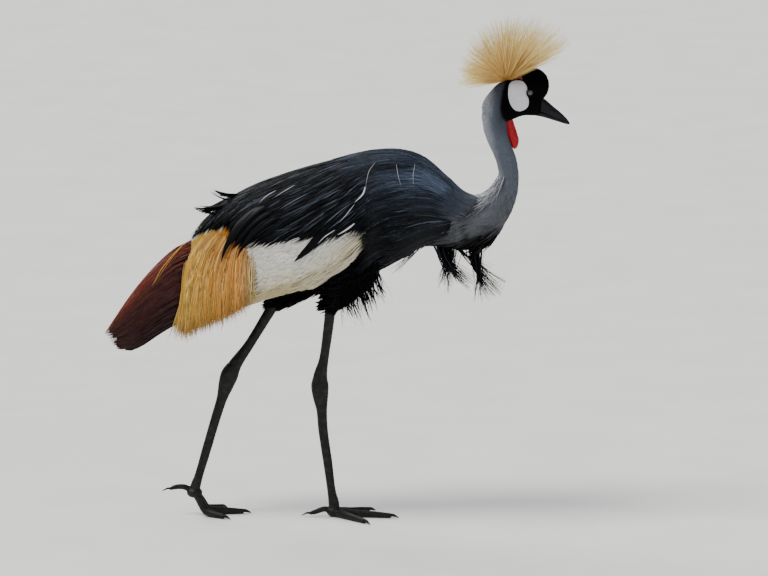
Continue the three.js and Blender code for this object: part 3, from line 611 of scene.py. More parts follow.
# Each leg: its side, the y of foot and hip, the turn of its foot, and rows of [x, z, half depth, half width]
LEGS = {
    "right": {
        "side": -1,
        "y": -2,
        "hip": -44,
        "yaw": -8,
        "thigh": [(44, 470, 46, 30), (34, 430, 44, 30), (20, 396, 30, 24), (4, 372, 18, 15),
                  (-3, 352, 10, 9)],
        "shank": [(-3, 362, 9, 7.5), (-9, 310, 8.2, 6.5), (-16, 262, 8.2, 6.5), (-21, 238, 11.5, 8.5),
                  (-22, 219, 14, 9.6)],
        "tarsus": [(-21.5, 236, 11.5, 8.5), (-22, 221, 14.5, 10), (-21, 203, 13, 9), (-19, 180, 9, 7),
                   (-17, 148, 8, 6.2), (-9, 90, 7.6, 6), (-2.5, 40, 7.2, 6.2), (1, 20, 9, 8.5),
                   (1.5, 9, 8.5, 8)],
    },
    "left": {
        "side": 1,
        "y": 8,
        "hip": 44,
        "yaw": 8,
        "thigh": [(40, 460, 44, 30), (4, 424, 38, 28), (-36, 396, 27, 22), (-72, 372, 19, 16),
                  (-97, 357, 14, 12)],
        "shank": [(-88, 370, 10, 8), (-115, 325, 8.4, 6.6), (-140, 285, 8.2, 6.5), (-162, 254, 11, 8.5),
                  (-171.5, 236, 14, 9.6)],
        "tarsus": [(-164, 252, 11.5, 8.5), (-171, 238, 14.5, 10), (-177, 221, 13, 9), (-184, 198, 9, 7),
                   (-194, 166, 8, 6.2), (-211, 108, 7.6, 6), (-224, 64, 7.2, 6.2), (-229, 48, 8.5, 8),
                   (-230.5, 39, 8, 7.5)],
    },
}
THIGH_END = 14


def leg_tube(leg, part):
    foot, hip, side = leg["y"], leg["hip"], leg["side"]
    knee = foot + side * THIGH_END
    if part == "thigh":
        return Tube(leg["thigh"], lambda u: hip + (knee - hip) * u)
    if part == "shank":
        return Tube(leg["shank"], lambda u: knee + (foot - knee) * u)
    return Tube(leg["tarsus"], lambda u: foot + 0 * u)


def tube_loft(name, tube, steps, sides, inset=0.0):
    return loft(name, round_rings(tube, np.linspace(0, 1, steps), sides, inset))


skin_parts = [
    loft("skull", round_rings(skull, np.linspace(246, 342.5, 26), 30, 0.8 * MM)),
    loft("cap", ball_rings(CAP_CENTRE, CAP_RADII)),
    tube_loft("neck", neck, 50, 30, 1.2 * MM),
    loft("body", round_rings(torso, np.linspace(-214, 247, 50), 44, 5 * MM)),
]
for side, leg in LEGS.items():
    skin_parts.append(tube_loft(f"thigh_{side}", leg_tube(leg, "thigh"), 20, 24, 3.5 * MM))

skin_material = Nodes("skin", 0.8, Specular_IOR_Level=0.04)
skin_tint = skin_material.add("ShaderNodeAttribute", {"attribute_name": "Tint"}).outputs["Color"]
mottle = skin_material.noise(300, 3)
mottled = skin_material.mix(1.0, skin_tint, mottle, "MULTIPLY")
skin_material.colour(skin_material.mix(0.35, skin_tint, mottled))
skin_material.bump(mottle, 0.4)
skin = fuse("skin", skin_parts, 2.6 * MM, skin_material.material, 6, 0.5)


# The black of the face ends behind the cheek on this line, as heights and places on it
FACE_BACK_Z = [655, 661, 671, 684, 697, 711, 727, 733]
FACE_BACK_X = [291, 284, 276, 273, 274, 276.5, 281, 284]


def on_face(p):
    """1 on the black of the face and crown, 0 on the grey of the neck."""
    x, z = xz(p)
    return ramp(x - np.interp(z, FACE_BACK_Z, FACE_BACK_X), -1.5, 2.5) * ramp(z, 652, 664)


def on_neck(p):
    """1 on the grey of the neck and its foot, 0 on the black of breast and body."""
    x, z = xz(p)
    return ramp(z - (463 + (x - 200) * 0.375), -3, 6) * ramp(x, 186, 202)


def body_colour(p):
    """The bird's colour at a place on head, neck or body, with painted rim light along the back of the neck
    and painted shade under the head beside the wattle.
    """
    x, z = xz(p)
    grey = blend(BASE_GREY, NECK_GREY, ramp(z, 490, 600))
    # Darker grey below the jaw, beside the wattle: painted shade under the head.
    grey = blend(grey, NECK_GREY * 0.42, ramp(z, 632, 668) * ramp(x, 258, 276))
    nape = np.interp(z, [500, 530, 572, 615, 655, 690, 720], [240, 270, 286, 276, 265, 268, 275])
    # Paler grey along the back of the neck: painted rim light.
    grey = blend(grey, NECK_RIM_LIGHT, 0.6 * ramp(nape - x, 3, 18) * ramp(z, 528, 560))
    colour = blend(BLACK, grey, on_neck(p))
    return blend(colour, CAP_BLACK, on_face(p))


tint_points(skin, body_colour(read(skin.data.vertices, "co", 3)))


def skin_unwrap(p):
    """The skin laid flat: its length along the bird, and its turn round the bird's own line."""
    x, y, z = (p / MM).T
    along = np.where((z > 520) & (x > 200), 0.55 + 0.4 * ramp(z, 520, 760), 0.05 + 0.45 * ramp(x, -220, 260))
    line_x = np.interp(z, [500, 530, 572, 615, 655, 700, 750], [247, 275, 288.5, 278, 266, 300, 320])
    line_z = np.where(x < 230, 490, z)
    turn = np.where((z > 520) & (x > 200), np.arctan2(y, x - line_x), np.arctan2(y, z - line_z))
    return np.stack([along, 0.03 + 0.94 * (turn / FULL_TURN + 0.5)], -1)


def sample(made, count, keep):
    """Points and outward normals spread by area over a mesh, where keep allows them."""
    mesh = made.data
    mesh.calc_loop_triangles()
    tris = read(mesh.loop_triangles, "vertices", 3, np.int32)
    at = read(mesh.vertices, "co", 3).astype(float)
    out = read(mesh.vertex_normals, "vector", 3)
    tris = tris[keep(at[tris].mean(1), out[tris].mean(1))]
    a, b, c = at[tris[:, 0]], at[tris[:, 1]], at[tris[:, 2]]
    area = np.linalg.norm(np.cross(b - a, c - a), axis=1)
    sums = np.cumsum(area)
    places = (np.arange(count) + RNG.uniform(0, 1, count)) / count * sums[-1]
    pick = np.clip(np.searchsorted(sums, places), 0, len(tris) - 1)
    r, q = np.sqrt(RNG.uniform(0, 1, count)), RNG.uniform(0, 1, count)
    weight = np.stack([1 - r, r * (1 - q), r * q], -1)[..., None]
    p = (at[tris[pick]] * weight).sum(1)
    n = unit((out[tris[pick]] * weight).sum(1))
    return p, n


def flat_to(direction, normal):
    return unit(direction - normal * np.sum(direction * normal, -1, keepdims=True))


def lie(p):
    """Which way the coat lies: back over the head, down the neck, and back along the body."""
    x, z = xz(p)
    head = np.array([-1.0, 0, -0.15])
    down = np.array([-0.1, 0, -1.0])
    back = np.array([-0.95, 0, -0.35])
    on_head = ramp(z + 0.35 * (x - 270), 655, 690)[:, None]
    on_neck = (ramp(z, 500, 545) * ramp(x, 210, 250))[:, None]
    out = back * (1 - on_neck) + down * on_neck
    out = out * (1 - on_head) + head * on_head
    return unit(out)


SINK = 0.6 * MM
coat_pieces = []


def coat(name, count, keep, length, width, material, shape, rise, steps, spread=0.25):
    """Short feathers over the skin: each leaves it at a low angle and bends down along the lie."""
    p, n = sample(skin, count, keep)
    way = flat_to(lie(p) + RNG.normal(0, spread, p.shape) * 0.5, n)
    size = length(p) * RNG.uniform(0.8, 1.2, len(p))
    across = np.cross(way, n)
    stations = hang(p - n * SINK, unit(way + n * rise), unit(-n), size * rise * 0.9, size, across, steps)
    tone = body_colour(p) * RNG.uniform(0.85, 1.15, (len(p), 1))
    wide = width(p) * RNG.uniform(0.85, 1.15, len(p))
    coat_pieces.append(strips(name, stations, wide, skin_unwrap(p), material, shape, tone))


def x_of(p):
    return p[:, 0] / MM


def z_of(p):
    return p[:, 2] / MM


def steady(value):
    return lambda p: np.full(len(p), value * MM)


# Where bare skin shows on the head: the cheek patch, and a small red patch above it
CHEEK = [
    (288.1, 725.9), (293.2, 730.2), (299.9, 731.8), (308.3, 731.2), (313.4, 728.5), (317.6, 722.5),
    (318.9, 717.4), (317.2, 712.3), (317.4, 708.0), (320.4, 702.9), (321.6, 695.2), (320.2, 687.5),
    (315.0, 681.6), (306.6, 678.6), (298.2, 680.7), (291.5, 688.0), (287.8, 696.9), (285.8, 707.2),
    (286.0, 717.4),
]


def inside(x, z, outline, grow=0.0):
    """True inside an outline in the side view. Grow moves its edge out from the middle."""
    outline = np.array(outline, float)
    middle = outline.mean(0)
    reach = outline - middle
    outline = middle + reach * (1 + grow / np.linalg.norm(reach, axis=1, keepdims=True))
    hit = np.zeros(np.shape(x), bool)
    j = len(outline) - 1
    for i in range(len(outline)):
        (xi, zi), (xj, zj) = outline[i], outline[j]
        cross = (zi > z) != (zj > z)
        at = (xj - xi) * (z - zi) / (zj - zi + 1e-12) + xi
        hit ^= cross & (x < at)
        j = i
    return hit


def closed_curve(points, count):
    """A smooth closed line through points."""
    p = np.array(points, float)
    n = len(p)
    s = np.linspace(0, n, count, endpoint=False)
    i = np.floor(s).astype(int)
    u = (s - i)[:, None]
    a, b, c, d = (p[(i + k) % n] for k in (-1, 0, 1, 2))
    return 0.5 * (2 * b + (c - a) * u + (2 * a - 5 * b + 4 * c - d) * u**2 + (3 * b - a - 3 * c + d) * u**3)


def bare_head(p):
    return inside(x_of(p), z_of(p), CHEEK, -1.0) & (np.abs(p[:, 1]) > 5 * MM)


EYE = (322.0, 711.2)
EYE_ASIDE = 15.2
EYE_RADIUS = 5.6
LID_RADIUS = 6.3


def near_eye(p):
    return np.hypot(x_of(p) - EYE[0], z_of(p) - EYE[1]) < 7.5


def low_on_neck(p):
    return ramp(-z_of(p), -600, -500)


coat(
    "cap_velvet", 6500,
    lambda p, n: (on_face(p) > 0.3) & ~bare_head(p) & ~(near_eye(p) & (np.abs(p[:, 1]) > 6 * MM)),
    lambda p: (2.4 + 2.4 * ramp(z_of(p), 705, 730) * ramp(x_of(p), 300, 312)) * MM,
    steady(1.3), velvet, "tuft", 0.45, 2)
for k, (count, low, high) in enumerate([(5400, 600, 740), (4300, 520, 600), (4200, 440, 520)]):
    coat(
        f"neck_feathers_{k}", count,
        lambda p, n: (z_of(p) >= low) & (z_of(p) < high) & (on_face(p) < 0.5) & (on_neck(p) > 0.25),
        lambda p: (8 + 14 * low_on_neck(p)) * MM,
        lambda p: (1.9 + 1.6 * low_on_neck(p)) * MM,
        grey_feather, "tuft", 0.14, 2, 0.16)
coat(
    "body_feathers", 4300,
    lambda p, n: (on_neck(p) < 0.6) & (z_of(p) < 530) & (x_of(p) < 275) & (n[:, 2] < 0.45),
    lambda p: (26 + 8 * ramp(x_of(p), -100, 150)) * MM,
    steady(8), black_feather, "lance", 0.22, 3)
coat(
    "neck_foot_plumes", 1100,
    lambda p, n: (on_neck(p) > 0.5) & (z_of(p) < 545) & (x_of(p) > 202) & (x_of(p) < 238) & (n[:, 2] < 0.8),
    lambda p: (13 + 21 * ramp(z_of(p), 478, 506)) * MM,
    steady(4.2), grey_feather, "lance", 0.17, 3, 0.2)


# Shells under the long feathers of back and wings, so that no gap shows between them


SHELL_THICK = 1.5 * MM


def shell(name, surface, xs, across, reach, inset, colour_at):
    """A thin closed sheet under a surface, out to a turn of reach on each side, in its feathers' tint or in a
    darker copy of it as painted shade.
    """
    xs = np.linspace(*xs)
    grid_x, grid_t = np.meshgrid(xs, np.linspace(-1, 1, across), indexing="ij")
    grid_t = grid_t * reach(xs)[:, None]
    point = surface.at(grid_x, grid_t)
    out = surface.frame(grid_x, grid_t)[2]
    high = point - out * inset
    low = high - out * SHELL_THICK
    n, m = grid_x.shape
    verts = np.concatenate([high.reshape(-1, 3), low.reshape(-1, 3)])
    i, j = np.meshgrid(np.arange(n - 1), np.arange(m - 1), indexing="ij")
    a = (i * m + j).ravel()
    upper = np.stack([a, a + m, a + m + 1, a + 1], -1)
    lower = upper[:, ::-1] + n * m
    faces = [upper, lower]
    rows, columns = np.arange(n) * m, np.arange(m)
    for line in (rows, rows + m - 1, columns, (n - 1) * m + columns):
        faces.append(np.stack([line[:-1], line[1:], line[1:] + n * m, line[:-1] + n * m], -1))
    made = new_object(name, verts, np.concatenate(faces), skin_material.material)
    colour = colour_at(grid_x, grid_t).reshape(-1, 3)
    tint_points(made, np.concatenate([colour, colour]))
    uv = surface.unwrap(grid_x, grid_t).reshape(-1, 2)
    corner_uv(made, np.concatenate([uv, uv]))
    return made


# Edges of the colours on the side of the wing, as heights along x
BLACK_EDGE = [(-262, 444), (-245, 462), (-225, 479), (-200, 488), (-172, 487), (-166, 470), (-148, 464),
              (-106, 471), (-77, 477), (-50, 480), (-14, 483), (10, 490), (40, 492), (62, 484)]
WHITE_LOW = [(-240, 335), (-203, 340), (-151, 360), (-106, 379), (-72, 388), (-43, 400), (0, 416), (28, 441),
             (52, 474), (66, 488)]
black_edge, white_low = smooth(BLACK_EDGE, 1), smooth(WHITE_LOW, 1)


def gold_tone(x, z):
    """From pale straw at the rear and low down to sandy orange in front."""
    tone = blend(STRAW, GOLD, ramp(x, -222, -170) * 0.8)
    tone = blend(tone, SANDY_GOLD, ramp(x, -190, -150) * ramp(z, 330, 420) * 0.7)
    return blend(tone, CREAM_GOLD, ramp(x, -148, -132) * 0.7)


def chestnut_tone(t):
    """Rusty where the light falls on the top, darkening down the side to dark maroon as painted shade."""
    aside = np.abs(t)
    tone = blend(CHESTNUT, CHESTNUT_SHADE * 1.6, ramp(aside, 0.12, 0.45))
    return blend(tone, CHESTNUT_SHADE * 0.7, ramp(aside, 0.45, 0.9))


def wing_tone(x, t):
    z = z_at(cloak, x, t)
    # White and gold at 0.9 and 0.7 of the feathers' own tints: painted shade under the feathers.
    tone = blend(BLACK, WHITE * 0.9, (z < black_edge(x)) & (x < 62))
    gold = gold_tone(x, z) * 0.7
    behind = ramp(-x, 132, 146)
    tone = blend(tone, BLACK, behind * (z >= black_edge(x)))
    return blend(tone, gold, behind * ((z < black_edge(x) - 2) & (np.abs(t) > 0.12)))


def wing_reach(x):
    """The turn at which the side of the wing ends, above the black of the flank."""
    return np.minimum(t_at(cloak, x, white_low(x) + 5), 0.97)


def mantle_reach(x):
    return np.interp(x, [60, 150, 196, 232], [0.95, 0.95, 0.5, 0.12])


# The wing and bustle shells are darker than their feathers: painted shade in the gaps between them.
shells = [
    shell("wing_shell", cloak, (-236, 64, 60), 60, wing_reach, 5.5 * MM, wing_tone),
    shell("shoulder_shell", cloak, (56, 226, 40), 50, mantle_reach, 5.5 * MM,
          lambda x, t: BLACK + np.zeros((*x.shape, 3))),
    shell("bustle_shell", bustle, (-358, -210, 40), 36, lambda x: 0.93 + 0 * x, 3.5 * MM,
          lambda x, t: chestnut_tone(t) * 0.4),
]


# Long feathers


def lay(name, surface, x, t, heading, bend, length, lifts, width, material, shape, colour, steps=6,
        curl=0.0, backwards=False, ease=1.0, **more):
    stations = walk(surface, x, t, heading, bend, length, lifts, steps, curl, backwards, ease)
    coat_pieces.append(strips(name, stations, width, surface.unwrap(x, t), material, shape, colour, **more))


def hung(name, start, along, sag, droop, length, width, material, shape, tone, steps=6, place=None, **more):
    n = len(start)
    across = np.cross(along, RNG.normal(0, 1, (n, 3)) * 0.5 + np.array([0.3, 1.0, 0.2]))
    across = unit(np.cross(across, along) + RNG.normal(0, 0.3, (n, 3)))
    stations = hang(start, unit(along), unit(sag), droop, length, across, steps)
    where = skin_unwrap(start) if place is None else place
    coat_pieces.append(strips(name, stations, width, where, material, shape, tone, **more))


def spread_over(xs, ts, pitch_x, pitch_t, jitter=0.35):
    """Staggered rows of places between two x and two t, on both sides, rear rows first."""
    rows = []
    x = xs[0]
    odd = 0
    while x <= xs[1]:
        t = np.arange(ts[0] + (odd % 2) * pitch_t / 2, ts[1], pitch_t)
        rows.append(np.stack([np.full(len(t), x), t], -1))
        x += pitch_x
        odd += 1
    one = np.concatenate(rows)
    both = np.concatenate([one, one * np.array([1, -1])])
    both[:, 0] += RNG.uniform(-jitter, jitter, len(both)) * pitch_x
    both[:, 1] += RNG.uniform(-jitter, jitter, len(both)) * pitch_t
    return both[:, 0], both[:, 1]


def mm(*values):
    return [np.asarray(v) * MM for v in values]


def either(n):
    return RNG.choice([-1.0, 1.0], n)


def shades(tone, low, high, n=None):
    """A tone for each of n strips, varied from strip to strip."""
    return tone * RNG.uniform(low, high, (n or len(tone), 1))


# White coverts, close and smooth
x, t = spread_over((-128, 60), (0.46, 1.0), 9, 0.021)
z = z_at(cloak, x, t)
keep = (z < black_edge(x) + np.interp(x, [-30, 5], [12, 0])) & (z > white_low(x) + 4)
x, t, z = x[keep], t[keep], z[keep]
low_down = ramp(z - white_low(x), 60, 5)
tone = shades(blend(blend(WHITE, CREAM, 0.35 * ramp(-x, 80, 140)), CREAM, 0.75 * low_down), 0.97, 1.02)
lay("white_coverts", cloak, x, t, 5 + RNG.normal(0, 1.2, len(x)), 2, RNG.uniform(40, 52, len(x)) * MM,
    mm(-4.8, -3.8, -3.3), RNG.uniform(11, 14, len(x)) * MM, white_feather, "round", tone, 5, cup=0.0,
    thick=0.0003)
# Finer white feathers along the lower edge, turning to cream behind
n = 420
x = RNG.uniform(-150, 46, n)
z = white_low(x) + np.abs(RNG.normal(0, 7, n))
t = either(n) * t_at(cloak, x, z)
tone = shades(blend(WHITE, CREAM, 0.6 + 0.4 * ramp(-x, 20, 110)), 0.8, 1.0)
lay("white_fringe", cloak, x, t, 6 + RNG.normal(0, 4, n), 2, RNG.uniform(20, 32, n) * MM,
    mm(-3.2, -2.3, -2.0), RNG.uniform(2.5, 5, n) * MM, white_feather, "lance", tone, 4, backwards=True)

# Golden plumes: hair-like strands that leave the black edge, sweep back and hang
SWEEP_DEPTH = [0, 32, 61, 97, 135]
SWEEP_X = [-199, -231, -245, -248, -247]
SWEEP_HEADING = [24, 64, 84, 91, 93]
GOLD_FRONT_X = [-150, -135, -136, -146]
GOLD_FRONT_DEPTH = [0, 30, 60, 100]
GOLD_FOOT = [(-262, 336), (-236, 341), (-203, 343), (-174, 352), (-151, 361), (-132, 368)]
gold_foot = smooth(GOLD_FOOT, 1)
for name, side in (("left", 1), ("right", -1)):
    n = 2250
    k = RNG.uniform(0, 1, n) ** 0.85
    depth = np.abs(RNG.normal(0, 36, n))
    front = np.interp(depth, GOLD_FRONT_DEPTH, GOLD_FRONT_X) + 13 * RNG.uniform(0, 1, n) ** 2.5
    x = (1 - k) * front + k * np.interp(depth, SWEEP_DEPTH, SWEEP_X) + RNG.normal(0, 1.5, n)
    edge = np.interp(k, [0, 1], [469, 491])
    z = edge - depth
    t = side * t_at(cloak, x, z)
    heading = (1 - k) * 80 + k * np.interp(depth, SWEEP_DEPTH, SWEEP_HEADING)
    lock = np.sin(k * 41) * 3.5 + np.sin(k * 97 + 1) * 2.5
    wisps = 15 * (RNG.uniform(0, 1, n) ** 4) * (0.6 + k) + 16 * ramp(k, 0.86, 0.98)
    foot = gold_foot(x - 30 * k * np.exp(-depth / 30))
    fall = (z - foot) * 1.1 + 18 * k * np.exp(-depth / 40)
    length = np.clip(fall * RNG.uniform(0.86, 1.02, n) + wisps, 22, 200)
    steps = 6
    line = np.linspace(0, 1, steps + 1)[None, :, None]
    tone = gold_tone(x, z)[:, None, :] * (1 - 0.35 * line) + STRAW * 0.35 * line
    clump = 1 + 0.22 * np.sin(k * 53 + depth * 0.05) + 0.14 * np.sin(k * 117 - depth * 0.08)
    tone = tone * (0.5 + 0.6 * RNG.uniform(0, 1, (n, 1, 1)) ** 0.7) * (0.86 + 0.14 * line)
    tone = tone * clump[:, None, None]
    # A few strands blend to pale gold: painted highlights on the plumes.
    shine = RNG.uniform(0, 1, n)[:, None] ** 6 * (0.5 + 0.5 * k[:, None])
    tone = blend(tone, GOLD_HIGHLIGHT, shine)
    lay(f"golden_plumes_{name}", cloak, x, t, heading + lock, 92 - heading + RNG.normal(0, 5, n), length * MM,
        [-3.0 * MM, RNG.uniform(-1, 3, (n, 1)) * MM, RNG.uniform(-1, 4, (n, 1)) * MM],
        RNG.uniform(1.1, 2.4, n) * MM, gold_feather, "hair", tone, steps, ease=0.45, wave=0.6)

# Chestnut secondaries, fanned over the drooping end of the wing
x, t = spread_over((-262, -214), (0.02, 0.94), 9, 0.075, 0.25)
steps = 10
line = np.linspace(0, 1, steps + 1)[None, :]
full = arc_to(bustle, x, t, -373 + 26 * np.abs(t) ** 4)
length = full * np.interp(x, [-262, -214], [1.0, 0.66]) * RNG.uniform(0.965, 1.0, len(x))
tone = chestnut_tone(t)[:, None, :] * (1.05 - 0.3 * line[..., None])
past = ramp(np.abs(t)[:, None] * line, 0.55, 0.85)
tone = blend(tone, SHADE_BROWN, past * 0.8)
tone = tone * RNG.uniform(0.45, 1.5, (len(x), 1, 1))
lay("secondaries", bustle, x, t, RNG.normal(0, 1.4, len(x)), 0, length, mm(-2.5, -0.6, 0.4),
    RNG.uniform(12, 17, len(x)) * MM, chestnut_feather, "vane", tone, steps, cup=0.2, ragged=0.12)
n = 1100
x = RNG.uniform(-330, -222, n)
t = RNG.uniform(-0.96, 0.96, n)
reach = np.minimum(RNG.uniform(40, 100, n) * MM, arc_to(bustle, x, t, -375.5 + 27 * np.abs(t) ** 4))
tone = shades(chestnut_tone(t), 0.35, 1.5)
lay("secondary_wisps", bustle, x, t, RNG.normal(1, 2, n), 0, reach, mm(-0.5, 0.7, 1.1),
    RNG.uniform(1, 2.6, n) * MM, chestnut_feather, "lance", tone, 5)

# Black tips of the primaries below and behind
x, t = spread_over((-262, -240), (0.72, 1.0), 10, 0.06, 0.2)
reach = arc_to(bustle, x, t, -344 + 0 * x)
lay("primary_tips", bustle, x, t, 0, 0, reach, mm(-4, -2.2, -1.2), 12 * MM, black_feather, "vane",
    TIP_BROWN[None], 8)

# Scapulars: long, black and silky, ending above the white. Each is laid from its tip back to its root
n = 330
x = RNG.uniform(-215, 60, n)
t = either(n) * RNG.uniform(0.02, 0.97, n) * t_at(cloak, x, black_edge(x))
tone = shades(BLACK, 0.6, 1.7, n)
lay("scapular_vanes", cloak, x, t, 3 + 14 * np.abs(t) + RNG.normal(0, 3, n), 6 + RNG.normal(0, 3, n),
    RNG.uniform(82, 116, n) * MM, mm(-4.6, -2.6, -1.6), RNG.uniform(13, 19, n) * MM, silky_feather, "lance",
    tone, 9, backwards=True, cup=0.16)
n = 1500
x = RNG.uniform(-222, 62, n)
t = either(n) * RNG.uniform(0, 1, n) ** 0.8 * t_at(cloak, x, black_edge(x))
streak = RNG.uniform(0, 1, n) ** (7 + 9 * np.abs(t))
tone = shades(blend(BLACK, GREY_SHEEN, streak), 0.5, 1.5)
lay("scapular_plumes", cloak, x, t, 2 + 16 * np.abs(t) + RNG.normal(0, 4, n), 8 + RNG.normal(0, 6, n),
    RNG.uniform(60, 110, n) * MM, mm(-3.0, -1.0, 0.2), RNG.uniform(2.2, 6, n) * MM, silky_feather, "lance",
    tone, 8, backwards=True)
# Their lowest points, which make the ragged edge over white and gold, and a few long ones beyond it
x = np.tile(np.concatenate([np.arange(-236, -20, 4.2), np.arange(-20, 66, 2.4)]), 2)
side = np.repeat([-1.0, 1.0], len(x) // 2)
x = x + RNG.uniform(-2, 2, len(x))
z = black_edge(x) - np.abs(RNG.normal(0, 2.4, len(x)))
heading = 16 + 10 * RNG.uniform(0, 1, len(x))
lay("scapular_edge", cloak, x, side * t_at(cloak, x, z), heading, 8, RNG.uniform(60, 90, len(x)) * MM,
    mm(-3.4, -1.6, -1.2), RNG.uniform(6, 12, len(x)) * MM, silky_feather, "lance",
    shades(BLACK, 0.5, 1.3, len(x)), 8, backwards=True)
# Tip x, tip z, heading, bend, length and width
LONG_POINTS = [
    (-63, 443, 14, 18, 110, 22), (-52, 458, 14, 14, 100, 16), (-40, 470, 14, 14, 96, 14),
    (-181, 437, 6, 66, 100, 13), (-176, 452, 8, 50, 96, 15), (-170, 462, 8, 40, 92, 16),
    (-155, 446, 8, 50, 88, 10), (-163, 460, 8, 34, 88, 14), (-150, 460, 8, 30, 84, 10),
    (-12, 470, 16, 16, 84, 6), (-24, 475, 16, 12, 84, 7), (4, 478, 16, 12, 80, 6), (-112, 463, 12, 14, 90, 9),
]
points = np.array(LONG_POINTS * 2, float)
side = np.repeat([-1.0, 1.0], len(LONG_POINTS))
x, z, heading, bend, length, width = points.T
over_gold = (ramp(-x, 130, 150) * MM)[:, None]
lifts = [-3 * MM + 0 * over_gold, -1.2 * MM + 4 * over_gold, -1.2 * MM + 6 * over_gold]
lay("scapular_points", cloak, x, side * t_at(cloak, x, z), heading, bend, length * MM, lifts, width * MM,
    silky_feather, "lance", shades(BLACK, 0.5, 1.0, len(x)), 9, backwards=True)

# Mantle: long slate plumes swept back from the neck. Low ones sag and rise again, and where they end on
# the side they hang down like a curtain in front of the wing
CURTAIN_X = 58
n = 2700
aside = RNG.uniform(0, 1, n) ** 0.9
group = RNG.uniform(0, 1, n)
front = np.interp(aside, [0, 0.3, 0.6, 1], [238, 226, 200, 190])
at_neck, amid = group < 0.45, group < 0.75
x = np.where(at_neck, front - 34 * RNG.uniform(0, 1, n) ** 1.2,
             np.where(amid, RNG.uniform(112, 176, n), RNG.uniform(74, 116, n)))
low = ramp(aside, 0.3, 0.9)
heading = np.where(at_neck, 3 + 30 * low, 2 + 10 * low) + RNG.normal(0, 3, n)
bend = np.where(at_neck, -44 * low, -14 * low) + RNG.normal(0, 5, n)
ending = ramp(aside, 0.24, 0.34)
curl = ending * np.where(at_neck, 0, np.where(amid, 20, 58))
end_x = CURTAIN_X + 5 - ending * 3 + RNG.normal(0, 3, n) - (1 - ending) * RNG.uniform(10, 70, n)
t = either(n) * aside * 0.98
reach = np.minimum(arc_to(cloak, x, t, end_x), np.where(at_neck, RNG.uniform(84, 128, n), 200) * MM)
reach = reach * np.where(at_neck, 1, 1 + 0.25 * ending) * RNG.uniform(0.88, 1.0, n)
near_neck = ramp(x, 120, 225)
band = 0.5 + 0.5 * np.sin(aside * 30 + 0.035 * (x - 100) + 1.4 * np.sin(aside * 9))
tone = blend(SLATE * 0.22, SLATE * 1.7, near_neck**1.4 * (1 - 0.5 * low))
# Toward a mid slate along the top of the back: painted sheen from the sky.
tone = blend(tone, SLATE * 0.6, (1 - ramp(aside, 0.08, 0.34)) * 0.8)
tone = blend(tone, BLACK, ramp(aside, 0.42, 0.64) * (1 - 0.15 * near_neck))
tone = blend(tone, SLATE_SHEEN, RNG.uniform(0, 1, n) ** 14 * (1 - 0.7 * low))
tone = tone * (0.45 + 0.9 * band[:, None]) * RNG.uniform(0.6, 1.4, (n, 1))
lay("mantle_plumes", cloak, x, t, heading, bend, reach, mm(-3.4, -0.8, 0.5), RNG.uniform(2.6, 6.5, n) * MM,
    slate_feather, "lance", tone, 8, curl, cup=0.2)

# Shorter plumes where the mantle starts, which turn from the grey of the neck to slate
n = 900
aside = RNG.uniform(0, 0.66, n)
front = np.interp(aside, [0, 0.3, 0.6, 0.9], [240, 231, 207, 197])
x = front + RNG.uniform(-16, 7, n)
start_tone = body_colour(cloak.at(x, aside))
steps = 5
line = np.linspace(0, 1, steps + 1)[None, :, None]
tone = start_tone[:, None, :] * (1 - line) + SLATE * (0.9 - 0.4 * ramp(aside, 0.3, 0.8))[:, None, None] * line
tone = tone * RNG.uniform(0.65, 1.25, (n, 1, 1))
lay("collar_plumes", cloak, x, either(n) * aside, 3 + 30 * ramp(aside, 0.3, 0.9) + RNG.normal(0, 4, n),
    -30 * ramp(aside, 0.3, 0.9), RNG.uniform(24, 46, n) * MM, mm(-3.2, 0.2, 0.9),
    RNG.uniform(1.8, 3.6, n) * MM, slate_feather, "lance", tone, steps)

# Pale shafts that have slipped over the mantle and wing, as lines of x and z, each with its width
PALE_LINES = [
    ([(70, 600), (60, 588), (56, 574), (54, 564)], 1.2),
    ([(54, 565), (49, 553), (36, 541)], 3.0),
    ([(36, 538), (23, 522), (11, 509)], 1.6),
    ([(104, 597), (107, 581), (112, 565)], 1.2),
    ([(134, 596), (131, 580), (132, 566)], 1.1),
    ([(36, 508), (23, 498), (8, 489)], 3.0),
    ([(-92, 553), (-108, 544), (-120, 533)], 2.0),
    ([(-62, 562), (-80, 552), (-98, 541)], 1.6),
    ([(4, 497), (-12, 486), (-24, 474)], 1.8),
    ([(-54, 484), (-70, 477), (-80, 470)], 1.6),
]
slipped = []
for side in (-1, 1):
    lines = [line for line, width in PALE_LINES]
    widths = np.array([width for line, width in PALE_LINES])
    if side > 0:
        lines = [[(x + 9, z - 6) for x, z in line] for line in lines[1::2]]
        widths = widths[1::2]
    stations = traced(cloak, lines, side, 1.6 * MM, 9)
    x = np.array([line[0][0] for line in lines], float)
    place = cloak.unwrap(x, side * 0.5 + 0 * x)
    tone = SHAFT_WHITE * (0.35 + 0.2 * widths)[:, None]
    slipped.append(strips(f"slipped_{side}", stations, widths * MM, place, white_feather, "lance", tone))
STRAW_LINE = [(-211, 480), (-246, 456), (-275, 425), (-288, 405), (-296, 393)]
STRAW_OFFSETS = [(0, 0), (9, 7)]
lines = []
for dx, dz in STRAW_OFFSETS:
    lines.append([(x + dx * (1 - k / 5), z + dz * (1 - k / 5)) for k, (x, z) in enumerate(STRAW_LINE)])
strands = len(lines)
stations = traced(bustle, lines, -1, 2.6 * MM, 10)
tone = shades(STRAW, 1.1, 1.4, strands)
place = bustle.unwrap(np.full(strands, -230.0), np.full(strands, -0.3))
straw_widths = np.array([1.7, 1.0]) * MM
slipped.append(strips("slipped_straw", stations, straw_widths, place, gold_feather, "hair", tone, wave=0.6))
coat_pieces.append(merged("pale_shafts", slipped))

